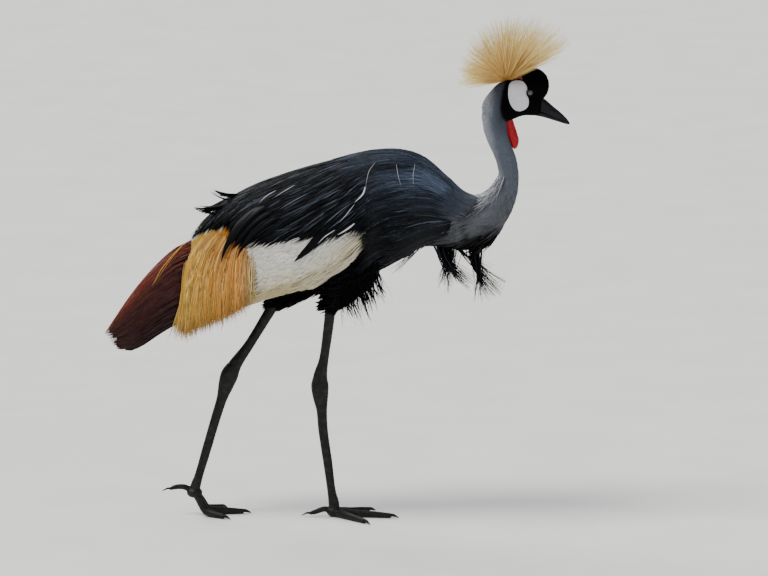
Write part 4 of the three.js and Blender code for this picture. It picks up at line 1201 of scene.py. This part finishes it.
# Loose plumes of the breast, in clusters of locks. Each cluster: strands, root x and its spread, drift of the
# narrow middle, drift of the tips from and to, length from and to, and half width, in millimetres
BREAST_CLUSTERS = [
    (170, 184, 10, 4, (-10, 48), (52, 90), 18),
    (120, 236, 7, 2, (-2, 48), (55, 102), 14),
    (18, 203, 4, 14, (34, 62), (30, 46), 10),
    (14, 150, 4, -24, (-64, -44), (40, 52), 14),
]
LOCKS = 9
starts, ways, flares = [], [], []
for strands, root_x, spread_x, drift, tips, reaches, wide in BREAST_CLUSTERS:
    lock = RNG.integers(0, LOCKS, strands)
    lock_y, lock_reach = RNG.uniform(-1, 1, LOCKS), RNG.uniform(0, 1, LOCKS)
    offset = RNG.normal(0, spread_x, strands)
    side_y = np.clip(0.5 * lock_y[lock] + RNG.normal(0, 0.35, strands), -1, 1) * wide
    x = root_x + offset
    z = torso.edge(x) + 9 + 0.02 * side_y**2
    share = np.clip(0.3 * (1 - lock / (LOCKS - 1)) + 0.7 * lock_reach[lock], 0, 1)
    reach = (reaches[0] + (reaches[1] - reaches[0]) * share) * RNG.uniform(0.72, 1.04, strands)
    tip = tips[0] + (tips[1] - tips[0]) * lock / (LOCKS - 1) + RNG.normal(0, 1.8, strands)
    starts.append(np.stack([x, side_y, z], -1))
    ways.append(np.stack([4 * drift - 0.8 * offset - tip, 0.5 * wide * lock_y[lock], -reach], -1))
    flares.append(2 * tip - 0.2 * offset - 4 * drift)
starts, ways, flares = np.concatenate(starts), np.concatenate(ways), np.concatenate(flares)
n = len(starts)
tone = shades(blend(BLACK, PLUME_SHEEN, RNG.uniform(0, 1, n) ** 5 * 0.7), 0.7, 1.3)
sag = np.stack([np.sign(flares), 0 * flares, -0.12 + 0 * flares], -1)
hung("breast_plumes", starts * MM, unit(ways), sag, np.abs(flares) * MM, np.linalg.norm(ways, axis=1) * MM,
     RNG.uniform(1.2, 3.0, n) * MM, black_feather, "lance", tone, 8, wave=0.4)

# Hackles at the foot of the neck, whiter behind
n = 560
u = RNG.uniform(0.55, 0.78, n)
aside = RNG.uniform(0, 1, n)
t = either(n) * (1 - 0.36 * aside)
start = neck.at(u, t)
white = RNG.uniform(0, 1, n) ** 0.8 * (1 - 0.6 * aside)
tone = shades(blend(NECK_GREY, HACKLE_WHITE, white), 0.7, 1.0)
along, _, out, _, _ = neck.frame(u, t)
way = along + out * RNG.uniform(0.05, 0.3, (n, 1)) + RNG.normal(0, 0.08, (n, 3)) + np.array([-0.2, 0, 0])
hung("hackles", start - out * MM, unit(way), -out, RNG.uniform(2, 6, n) * MM, RNG.uniform(22, 42, n) * MM,
     RNG.uniform(0.8, 1.7, n) * MM, grey_feather, "hair", tone, 6)

# Feathers of the thighs
for side_name, leg in LEGS.items():
    tube = leg_tube(leg, "thigh")
    n = 780
    u = RNG.uniform(0.12, 1.0, n) ** 0.8
    t = RNG.uniform(-1, 1, n)
    start = tube.at(u, t)
    along, _, out, _, _ = tube.frame(u, t)
    start = start - out * 3.5 * MM
    low = ramp(u, 0.3, 0.8)
    way = unit(along + out * 0.14 + np.array([0.0, 0, -0.25]) * low[:, None] + RNG.normal(0, 0.06, (n, 3)))
    reach = np.interp(u, [0.1, 0.6, 1.0], [34, 38, 24]) * RNG.uniform(0.8, 1.15, n)
    tone = shades(BLACK, 0.6, 1.4, n)
    place = tube.unwrap(u, t) * np.array([1, 0.48]) + np.array([0, 0.0 if side_name == "left" else 0.5])
    hung(f"thigh_feathers_{side_name}", start, way, -out, 4 * MM, reach * MM, RNG.uniform(4, 8, n) * MM,
         black_feather, "lance", tone, 4, place)
# Fluffy plumes that hang from the front of the near thigh
n = 150
tube = leg_tube(LEGS["right"], "thigh")
u, t = RNG.uniform(0.3, 0.75, n), RNG.uniform(-0.6, 0.6, n)
start = tube.at(u, t) - tube.frame(u, t)[2] * 3 * MM
swing = np.clip(RNG.normal(0.25, 0.28, n), -0.3, 0.9)
way = unit(np.stack([swing, RNG.normal(0, 0.2, n), -np.ones(n)], -1))
tone = shades(BLACK, 0.6, 1.5, n)
sag = np.stack([0.5 + 0 * swing, 0 * swing, -np.ones(n)], -1)
hung("thigh_tuft", start, way, sag, RNG.uniform(4, 14, n) * MM, RNG.uniform(24, 46, n) * MM,
     RNG.uniform(1.6, 4.4, n) * MM, black_feather, "lance", tone, 5, wave=0.4)

# Tail, hidden by the wings but for its tips
n = 14
k = np.linspace(-1, 1, n)
start = np.stack([-205 + 0 * k, 10 * k, 458 + 0 * k], -1) * MM
way = np.stack([-0.66 + 0 * k, 0.1 * k, -0.75 + 0 * k], -1)
hung("tail_vanes", start, way, np.tile([0, 0, -1.0], (n, 1)), 6 * MM, (196 - 16 * np.abs(k)) * MM, 22 * MM,
     black_feather, "vane", BLACK[None], 8)

# Ragged black tips that stand off the back above the wing's end, as places of their tips
STRAY_TIPS = [
    (-195, -8, 547, 10), (-194, -6, 546, 9), (-226, -16, 521, 3), (-225, -12, 520, 2), (-219, -12, 512, 1),
    (-212, 8, 515, 3), (-214, 12, 508, 2), (-222, 10, 512, 2),
]
tips = np.array([tip for tip in STRAY_TIPS for _ in range(5)], float)
n = len(tips)
tips[:, :3] += RNG.normal(0, 1, (n, 3)) * np.array([2.5, 2.0, 1.6])
back = RNG.uniform(34, 52, n)
root_x = tips[:, 0] + back
start = np.stack([root_x, tips[:, 1] * 1.1, cloak.top(root_x) - 3 - 0.012 * tips[:, 1] ** 2], -1) * MM
rise = np.stack([0 * back, 0 * back, tips[:, 3] * 1.6], -1) * MM
way = tips[:, :3] * MM - rise - start
hung("stray_tips", start, unit(way), np.tile([0.0, 0, 1.0], (n, 1)), np.maximum(tips[:, 3] * 1.6, 0.1) * MM,
     np.linalg.norm(way, axis=1), RNG.uniform(4, 8.5, n) * MM, silky_feather, "lance",
     shades(BLACK, 0.6, 1.3, n), 7)

# Crest: a dense fan of stiff, finely twisted bristles
CREST_LOW, CREST_HIGH = 31, 186
n = 1700
degrees = CREST_LOW + (CREST_HIGH - CREST_LOW) * RNG.uniform(0, 1, n) ** 1.15
angle = np.radians(degrees)
lean = np.radians(RNG.uniform(-1, 1, n) * 44)
reach = np.interp(degrees, [28, 42, 80, 117, 143, 186], [118, 125, 111, 98, 82, 76])
reach = reach * RNG.uniform(0.5, 1.0, n) ** 0.36
way = np.stack([np.cos(angle) * np.cos(lean), np.sin(lean), np.sin(angle) * np.cos(lean)], -1)
root = np.array([285, 0, 730]) + way * np.array([8, 7, 3]) + RNG.normal(0, 1.2, (n, 3))
steps = 5
line = np.linspace(0, 1, steps + 1)[None, :, None]
# Root to tip in the crest's gold, lightened as painted backlight.
tone = CREST_ROOT * (1 - line**0.9) + CREST_TIP * line**0.9
tone = tone * RNG.uniform(0.7, 1.15, (n, 1, 1))
fall = np.stack([0.5 * RNG.normal(0, 1, n), 0.5 * RNG.normal(0, 1, n), -np.ones(n)], -1)
place = np.stack([0.05 + 0.9 * ramp(degrees, CREST_LOW, CREST_HIGH), 0.5 + np.degrees(lean) / 100], -1)
hung("crest_bristles", root * MM, way, fall, RNG.uniform(0, 6, n) * MM, reach * MM,
     RNG.uniform(0.55, 0.95, n) * MM, bristle, "hair", tone, steps, place, cup=0.4, wave=0.9)
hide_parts("crest")


# Head details


def relief(name, roughness, colours, scale, strength, stretch=None, gloss=0.5):
    """A material that runs between colours by a fine noise, with the same noise as relief."""
    m = Nodes(name, roughness, Specular_IOR_Level=gloss)
    fine = m.noise(scale, 4, stretch=stretch)
    stops = [(0.3 + 0.4 * i / max(len(colours) - 1, 1), tuple(c)) for i, c in enumerate(colours)]
    m.colour(m.ramp(fine, stops))
    m.bump(fine, strength, 0.0006)
    return m.material


horn_tones = [srgb(10, 11, 13), srgb(24, 26, 31)]
bill_skin = relief("bill_horn", 0.42, horn_tones, 90, 0.15, (0.4, 1, 1), 0.14)
cheek_skin = relief("cheek_skin", 0.6, [srgb(192, 191, 197), srgb(210, 208, 213)], 260, 0.35, gloss=0.25)
wattle_skin = relief("wattle_skin", 0.42, [srgb(132, 8, 18), srgb(172, 16, 28)], 220, 0.5, gloss=0.2)
spot_skin = relief("spot_skin", 0.5, [srgb(120, 58, 60), srgb(150, 84, 84)], 220, 0.5)
lid_skin = relief("lid_skin", 0.6, [srgb(10, 10, 12), srgb(20, 20, 23)], 500, 0.5, gloss=0.2)
leg_tones = [srgb(8, 8, 9), srgb(20, 19, 19), srgb(38, 35, 33)]
leg_skin = relief("leg_skin", 0.5, leg_tones, 120, 0.5, gloss=0.2)

BILL = [
    (326, 708, 671, 9), (336, 704.5, 670.2, 8.6), (345, 700, 668.4, 8.2), (361, 686.5, 663.6, 6.4),
    (377, 672.8, 658.6, 4), (385, 664.2, 656.6, 2.3), (388.8, 658.6, 656.6, 0.7),
]
bill_surface = Sections(BILL, 180)
MOUTH_X = [334, 345, 361, 377, 388.8]
MOUTH_SHARE = [0.27, 0.22, 0.22, 0.25, 0.34]


def bill_part(name, upper):
    """One mandible: the side above or below the mouth line."""
    xs = np.linspace(334, 388.7, 70)
    rings = []
    for x in xs:
        top, low = float(bill_surface.top(x)), float(bill_surface.edge(x))
        mouth = low + (top - low) * np.interp(x, MOUTH_X, MOUTH_SHARE)
        half, mid, high = float(bill_surface.half(x)), (top + low) / 2, (top - low) / 2
        ring = []
        ease = 1 if upper else -1
        a0 = math.acos(max(-1, min(1, (mouth - mid) / high)))
        span = np.linspace(-a0, a0, 25) if upper else np.linspace(a0, FULL_TURN - a0, 25)
        for a in span:
            y = half * math.sin(a)
            z = mid + high * math.cos(a)
            if upper:
                spot = math.hypot((x - 361) / 5.2, (z - 681.5 + 0.65 * (x - 361)) / 1.5)
                y *= 1 - 0.42 * math.exp(-(spot**4))
                groove = (z - (top * 0.35 + mouth * 0.65)) / 2.2
                y *= 1 - 0.06 * math.exp(-(groove**2)) * (x < 374)
            ring.append((x, y, z + ease * 0.08))
        rings.append(np.array(ring) * MM)
    made = loft(name, rings, bill_skin)
    sub = made.modifiers.new("sub", "SUBSURF")
    sub.levels = sub.render_levels = 1
    apply_all(made)
    return made


bill_upper = bill_part("mandible_upper", True)
bill_lower = bill_part("mandible_lower", False)

# Eyes: iris and pupil by the turn from the eye's own axis, under a clear coat
EYE_TONES = [(0.0, (12, 12, 14)), (0.78, (26, 28, 32)), (0.83, (84, 89, 98)), (0.90, (74, 79, 88)),
             (0.925, (8, 8, 10)), (1.0, (6, 6, 8))]
eyes = []
lids = []
for side, sign in (("left", 1), ("right", -1)):
    centre = np.array([EYE[0], sign * EYE_ASIDE, EYE[1]]) * MM
    look = unit(np.array([0.21, sign * 1.0, 0.0]))
    bpy.ops.mesh.primitive_uv_sphere_add(segments=48, ring_count=32, radius=EYE_RADIUS * MM)
    eye = bpy.context.object
    eye.name = f"eyeball_{side}"
    turn = Vector((0, 0, 1)).rotation_difference(Vector(look))
    eye.data.transform(turn.to_matrix().to_4x4())
    eye.data.transform(Matrix.Translation(centre))
    m = Nodes(f"eye_{side}", 0.12, Coat_Weight=1.0)
    m.shader.inputs["Coat Roughness"].default_value = 0.02
    place = m.add("ShaderNodeTexCoord").outputs["Object"]
    away = m.add("ShaderNodeVectorMath", {"operation": "SUBTRACT", 1: tuple(centre)})
    m.tree.links.new(place, away.inputs[0])
    flat = m.add("ShaderNodeVectorMath", {"operation": "NORMALIZE"})
    m.tree.links.new(away.outputs[0], flat.inputs[0])
    dot = m.add("ShaderNodeVectorMath", {"operation": "DOT_PRODUCT", 1: tuple(look)})
    m.tree.links.new(flat.outputs[0], dot.inputs[0])
    fleck = m.noise(900, 3)
    toward = m.math("ADD", dot.outputs["Value"], m.math("MULTIPLY", fleck, 0.02))
    m.colour(m.ramp(toward, [(turn_to, tuple(srgb(*tone))) for turn_to, tone in EYE_TONES]))
    eye.data.materials.append(m.material)
    eye.data.polygons.foreach_set("use_smooth", np.ones(len(eye.data.polygons), bool))
    eyes.append(eye)
    # Lid: a folded rim that follows the eyeball, a little open to an almond
    east = unit(np.cross(np.array([0, 0, 1.0]), look))
    north = np.cross(look, east)
    rings = []
    for turn in np.linspace(0, FULL_TURN, 56, endpoint=False):
        open_ = math.radians(43 - 5 * abs(math.sin(turn)) + (3 if math.cos(turn) * sign > 0 else 0))
        ring = []
        for a in np.linspace(0, FULL_TURN, 12, endpoint=False):
            lift = LID_RADIUS + 0.62 * math.cos(a) + 0.12 * math.cos(3 * a)
            wide = open_ + (0.12 + 0.15 * math.sin(a))
            way = look * math.cos(wide) + (east * math.cos(turn) + north * math.sin(turn)) * math.sin(wide)
            ring.append(centre + way * lift * MM)
        rings.append(ring)
    rings = np.array(rings)
    grid = np.arange(rings.shape[0] * rings.shape[1]).reshape(rings.shape[:2])
    a, b = grid, np.roll(grid, -1, 1)
    faces = np.stack([a, b, np.roll(b, -1, 0), np.roll(a, -1, 0)], -1).reshape(-1, 4)
    lids.append(new_object(f"lid_{side}", rings.reshape(-1, 3), faces, lid_skin))


tree = BVHTree.FromObject(skin, bpy.context.evaluated_depsgraph_get())


def patch(name, outline, sign, proud, material, rows=16, around=72, fold=None):
    """A thin raised patch of bare skin on the side of the head, seen as an outline from the side."""
    edge = closed_curve(outline, around)
    middle = edge.mean(0)
    verts, faces = [], []
    for r in range(rows + 1):
        k = r / rows
        for p in middle + (edge - middle) * k:
            hit = tree.ray_cast(Vector((p[0] * MM, sign * 0.06, p[1] * MM)), Vector((0, -sign, 0)))
            y = hit[0].y if hit[0] else sign * 12 * MM
            rise = proud * (1 - k**6) - 0.8 * k**6
            if fold:
                rise += fold(p[0], p[1], k)
            verts.append((p[0] * MM, y + sign * rise * MM, p[1] * MM))
    for r in range(rows):
        for j in range(around):
            a, b = r * around + j, r * around + (j + 1) % around
            faces.append([a, b, b + around, a + around] if sign < 0 else [a, a + around, b + around, b])
    return new_object(name, verts, faces, material)


def cheek_fold(x, z, k):
    return 0.22 * math.sin(x * 1.1 + 0.6 * z) * math.sin(z * 0.7) * (1 - k**3)


patches = []
RED_SPOT = [(299, 731), (304, 732.5), (310, 731.5), (310, 735), (306.5, 738.5), (302, 736)]
for side, sign in (("left", 1), ("right", -1)):
    cheek = patch(f"cheek_patch_{side}", CHEEK, sign, 2.0, cheek_skin, fold=cheek_fold)
    spot = patch(f"red_spot_{side}", RED_SPOT, sign, 1.7, spot_skin, 8, 36)
    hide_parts(f"cheek_{side}")
    patches += [cheek, spot]

# Wattle: a bare lobe under the throat, with folds down its length
# Rows of height, rear edge, front edge and half width
WATTLE = [
    (615.6, 297.4, 299.0, 0.6), (617.5, 295.0, 301.6, 3.0), (622, 292.4, 304.0, 4.8),
    (630, 289.6, 305.0, 5.8), (640, 286.6, 302.6, 6.3), (650, 283.8, 299.6, 6.5),
    (660, 281.5, 296.8, 6.2), (668, 282.0, 293.5, 4.6),
]
rear, fore, half = (smooth(WATTLE, c) for c in (1, 2, 3))
rings = []
for z in np.linspace(WATTLE[0][0], WATTLE[-1][0], 44):
    middle, wide, deep = (rear(z) + fore(z)) / 2, (fore(z) - rear(z)) / 2, half(z)
    ring = []
    for a in np.linspace(0, FULL_TURN, 32, endpoint=False):
        fold = 1 + 0.05 * math.sin(5 * a + 0.14 * z) + 0.03 * math.sin(11 * a - 0.2 * z)
        ring.append((middle + wide * math.cos(a) * fold, deep * math.sin(a) * fold, z))
    rings.append(np.array(ring) * MM)
wattle = loft("wattle_lobe", rings, wattle_skin)
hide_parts("wattle")


# Bare legs: shank, tarsus and toes with their scutes, one skin for each leg

TOES = {"middle": (0, 95), "outer": (40, 76), "inner": (-40, 68), "hallux": (172, 32)}


def toe_rows(toe, length, height):
    """A toe's rows from the foot out, for a foot at this height: flat on the floor, or with a raised heel."""
    if toe == "hallux" and height < 20:
        return [(4, height, 5, 4.5), (16, 12, 4.6, 4.2), (length, 7, 4, 3.6), (length + 9, 4.6, 2.6, 2.4)]
    if toe == "hallux":
        return [(4, height + 1, 5, 4.5), (16, height + 8, 4.6, 4.2), (length, height + 8, 4, 3.6),
                (length + 9, height + 5, 2.6, 2.4)]
    mean = (6.4 + 3.9) / 2
    if height < 20:
        return [(4, 7.5, 7.4, 6.4), (20, 6.4, 6.8, 6.4), (length * 0.45, 5.4, 6.1, mean + 0.6),
                (length * 0.75, 4.6, 5.2, mean), (length, 3.6, 4.1, 3.9)]
    return [(2, height, 7, 6.4), (11, height - 14, 6.8, 6.4), (23, 9, 6.6, 6.4),
            (length * 0.55, 5.4, 6.1, mean), (length * 0.86, 3.6, 4.2, 3.9)]


def scuted(name, tube, steps, sides, pitch, depth, front=1.0):
    """A tube with overlapping scutes down its front and small ones round the rest."""
    rings = []
    turns = np.linspace(-1, 1, sides, endpoint=False)
    for u in np.linspace(0, 1, steps):
        points = tube.at(np.full(sides, u), turns)
        middle = tube.middle(np.array(u))
        out = unit(points - middle)
        run = u * tube.length / MM
        plate = (run / pitch) % 1
        step = (plate - 0.5) * 0.5 - 0.9 * (plate < 0.14)
        ahead = np.clip(np.cos(turns * math.pi) * front * 1.6, 0, 1)
        grain = np.sin(run * 2.9 + np.round(turns * 7) * 2.1) * 0.28
        height = depth * (ahead * step + (1 - ahead) * grain)
        rings.append(points + out * height[:, None] * MM)
    return loft(name, rings)


def move(made, change):
    """Moves a mesh's points by a function of where they are."""
    points = made.data.vertices
    points.foreach_set("co", change(read(points, "co", 3)).astype(np.float32).reshape(-1))


def above_floor(at):
    at[:, 2] = np.maximum(at[:, 2], 0)
    return at


leg_pieces = []
claw_pieces = []
for side, leg in LEGS.items():
    sign = leg["side"]
    foot_x, foot_z = leg["tarsus"][-1][:2]
    parts = [
        scuted("shank", leg_tube(leg, "shank"), 150, 28, 5.5, 0.35),
        scuted("tarsus", leg_tube(leg, "tarsus"), 260, 30, 6.2, 0.7),
        loft("pad", ball_rings((foot_x, leg["y"], foot_z - 1), (13, 12, 9), 20, 28)),
    ]
    for toe, (turn, length) in TOES.items():
        rows = toe_rows(toe, length, foot_z)
        heading = math.radians(leg["yaw"] + sign * turn)
        c, s = math.cos(heading), math.sin(heading)
        spin = np.array([[c, s, 0], [-s, c, 0], [0, 0, 1]])
        shift = np.array([foot_x, leg["y"], 0]) * MM
        made = scuted("toe", Tube(rows), 90, 22, 4.2, 0.55, -1.0)
        move(made, lambda at: at @ spin + shift)
        parts.append(made)
        x, z, deep, wide = rows[-1]
        fall = min(4, z - 0.2)
        claw = Tube([
            (x - 3, z + 0.6, deep * 0.85, wide * 0.85),
            (x + 4, z + 0.8, deep * 0.62, wide * 0.55),
            (x + 9, z - fall * 0.35, deep * 0.38, wide * 0.32),
            (x + 13, z - fall + 0.5, 0.5, 0.4),
        ])
        made = tube_loft(f"talon_{side}_{toe}", claw, 22, 16)
        move(made, lambda at: above_floor(at @ spin + shift))
        made.data.materials.append(bill_skin)
        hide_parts(f"claw_{side}_{toe}")
        claw_pieces.append(made)
    whole = fuse(f"leg_{side}", parts, 1.0 * MM, leg_skin, 1, 0.3)
    move(whole, above_floor)
    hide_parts(f"shank_{side}", f"tarsus_{side}", *[f"toe_{side}_{toe}" for toe in TOES])
    leg_pieces.append(whole)

# Which solid each piece stands for
names = {piece.name: piece for piece in coat_pieces}
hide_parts("head", "neck_upper", "neck_lower", "torso", "thigh_left", "thigh_right")
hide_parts("mantle")
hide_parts("scapulars")
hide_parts("tail")
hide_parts("wing_left_coverts", "wing_right_coverts")
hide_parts("wing_left_plumes")
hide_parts("wing_right_plumes")
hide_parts("wing_left_secondaries", "wing_right_secondaries")
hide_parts("wing_left_primaries", "wing_right_primaries")
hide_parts("bill_upper")
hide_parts("bill_lower")
for side, eye in zip(("left", "right"), eyes):
    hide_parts(f"eye_{side}")

SLOTS = {
    "eye": eyes,
    "bill": [bill_upper, bill_lower],
    "claw": claw_pieces,
    "leg_skin": leg_pieces,
    "cheek_skin": patches[::2],
    "wattle_skin": [wattle, *patches[1::2]],
    "crest_bristles": [names["crest_bristles"]],
    "mantle_feathers": [names["mantle_plumes"], names["collar_plumes"], names["pale_shafts"]],
    "neck_feathers": [names["neck_feathers_0"], names["neck_feathers_1"], names["neck_foot_plumes"],
                      names["hackles"]],
    "white_feathers": [names["white_coverts"], names["white_fringe"]],
    "golden_feathers": [names["golden_plumes_left"], names["golden_plumes_right"]],
    "chestnut_feathers": [names["secondaries"], names["secondary_wisps"]],
}
slotted = set()
for slot_name, pieces in SLOTS.items():
    for piece in pieces:
        slotted.add(piece.name)
head_pieces = [bill_upper, bill_lower, *eyes, *lids, *patches, wattle]
everything = [skin, *shells, *coat_pieces, *head_pieces, *leg_pieces, *claw_pieces]
for piece in everything:
    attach(piece, "root")


# Floor, light and camera

floor_paint = Nodes("floor", 0.8)
floor_tones = [(0.3, tuple(srgb(240, 239, 236))), (0.7, tuple(srgb(246, 245, 242)))]
floor_paint.colour(floor_paint.ramp(floor_paint.noise(6, 3), floor_tones))
HALF, BELOW = 12, -0.0005
corners = [(x, y, BELOW) for x, y in ((-HALF, -HALF), (HALF, -HALF), (HALF, HALF), (-HALF, HALF))]
floor = new_object("floor", corners, [[0, 1, 2, 3]], floor_paint.material, False)


def aimed(name, data, place, target):
    """A light or camera at a place, turned to face another."""
    made = bpy.data.objects.new(name, data)
    made.location = place
    made.rotation_mode = "QUATERNION"
    made.rotation_quaternion = (Vector(target) - Vector(place)).to_track_quat("-Z", "Y")
    bpy.context.scene.collection.objects.link(made)
    return made


def lamp(name, kind, place, target, power, colour=(1, 1, 1)):
    data = bpy.data.lights.new(name, kind)
    data.energy = power
    data.color = colour
    aimed(name, data, place, target)
    return data


lamp("key", "SUN", (-1.7, -0.6, 2.6), (0, 0, 0), 2.7, (1.0, 0.98, 0.95)).angle = math.radians(24)
lamp("rim", "SUN", (-1.6, 2.2, 1.9), (0, 0, 0), 1.6).angle = math.radians(34)
lamp("fill", "AREA", (1.6, -2.8, 1.4), (0, 0, 0.45), 20, (0.94, 0.97, 1.0)).size = 2.2

world = bpy.data.worlds.new("studio")
world.use_nodes = True
world.node_tree.nodes["Background"].inputs[0].default_value = (0.78, 0.8, 0.84, 1)
world.node_tree.nodes["Background"].inputs[1].default_value = 0.5
bpy.context.scene.world = world

AIM = Vector((84 * MM, 0, 384 * MM))
ELEVATION = math.radians(10)
DISTANCE = 9.0
lens = bpy.data.cameras.new("camera")
lens.lens = 256
lens.sensor_width = 36
back_off = Vector((0, -math.cos(ELEVATION), math.sin(ELEVATION)))
bpy.context.scene.camera = aimed("camera", lens, AIM + back_off * DISTANCE, AIM)
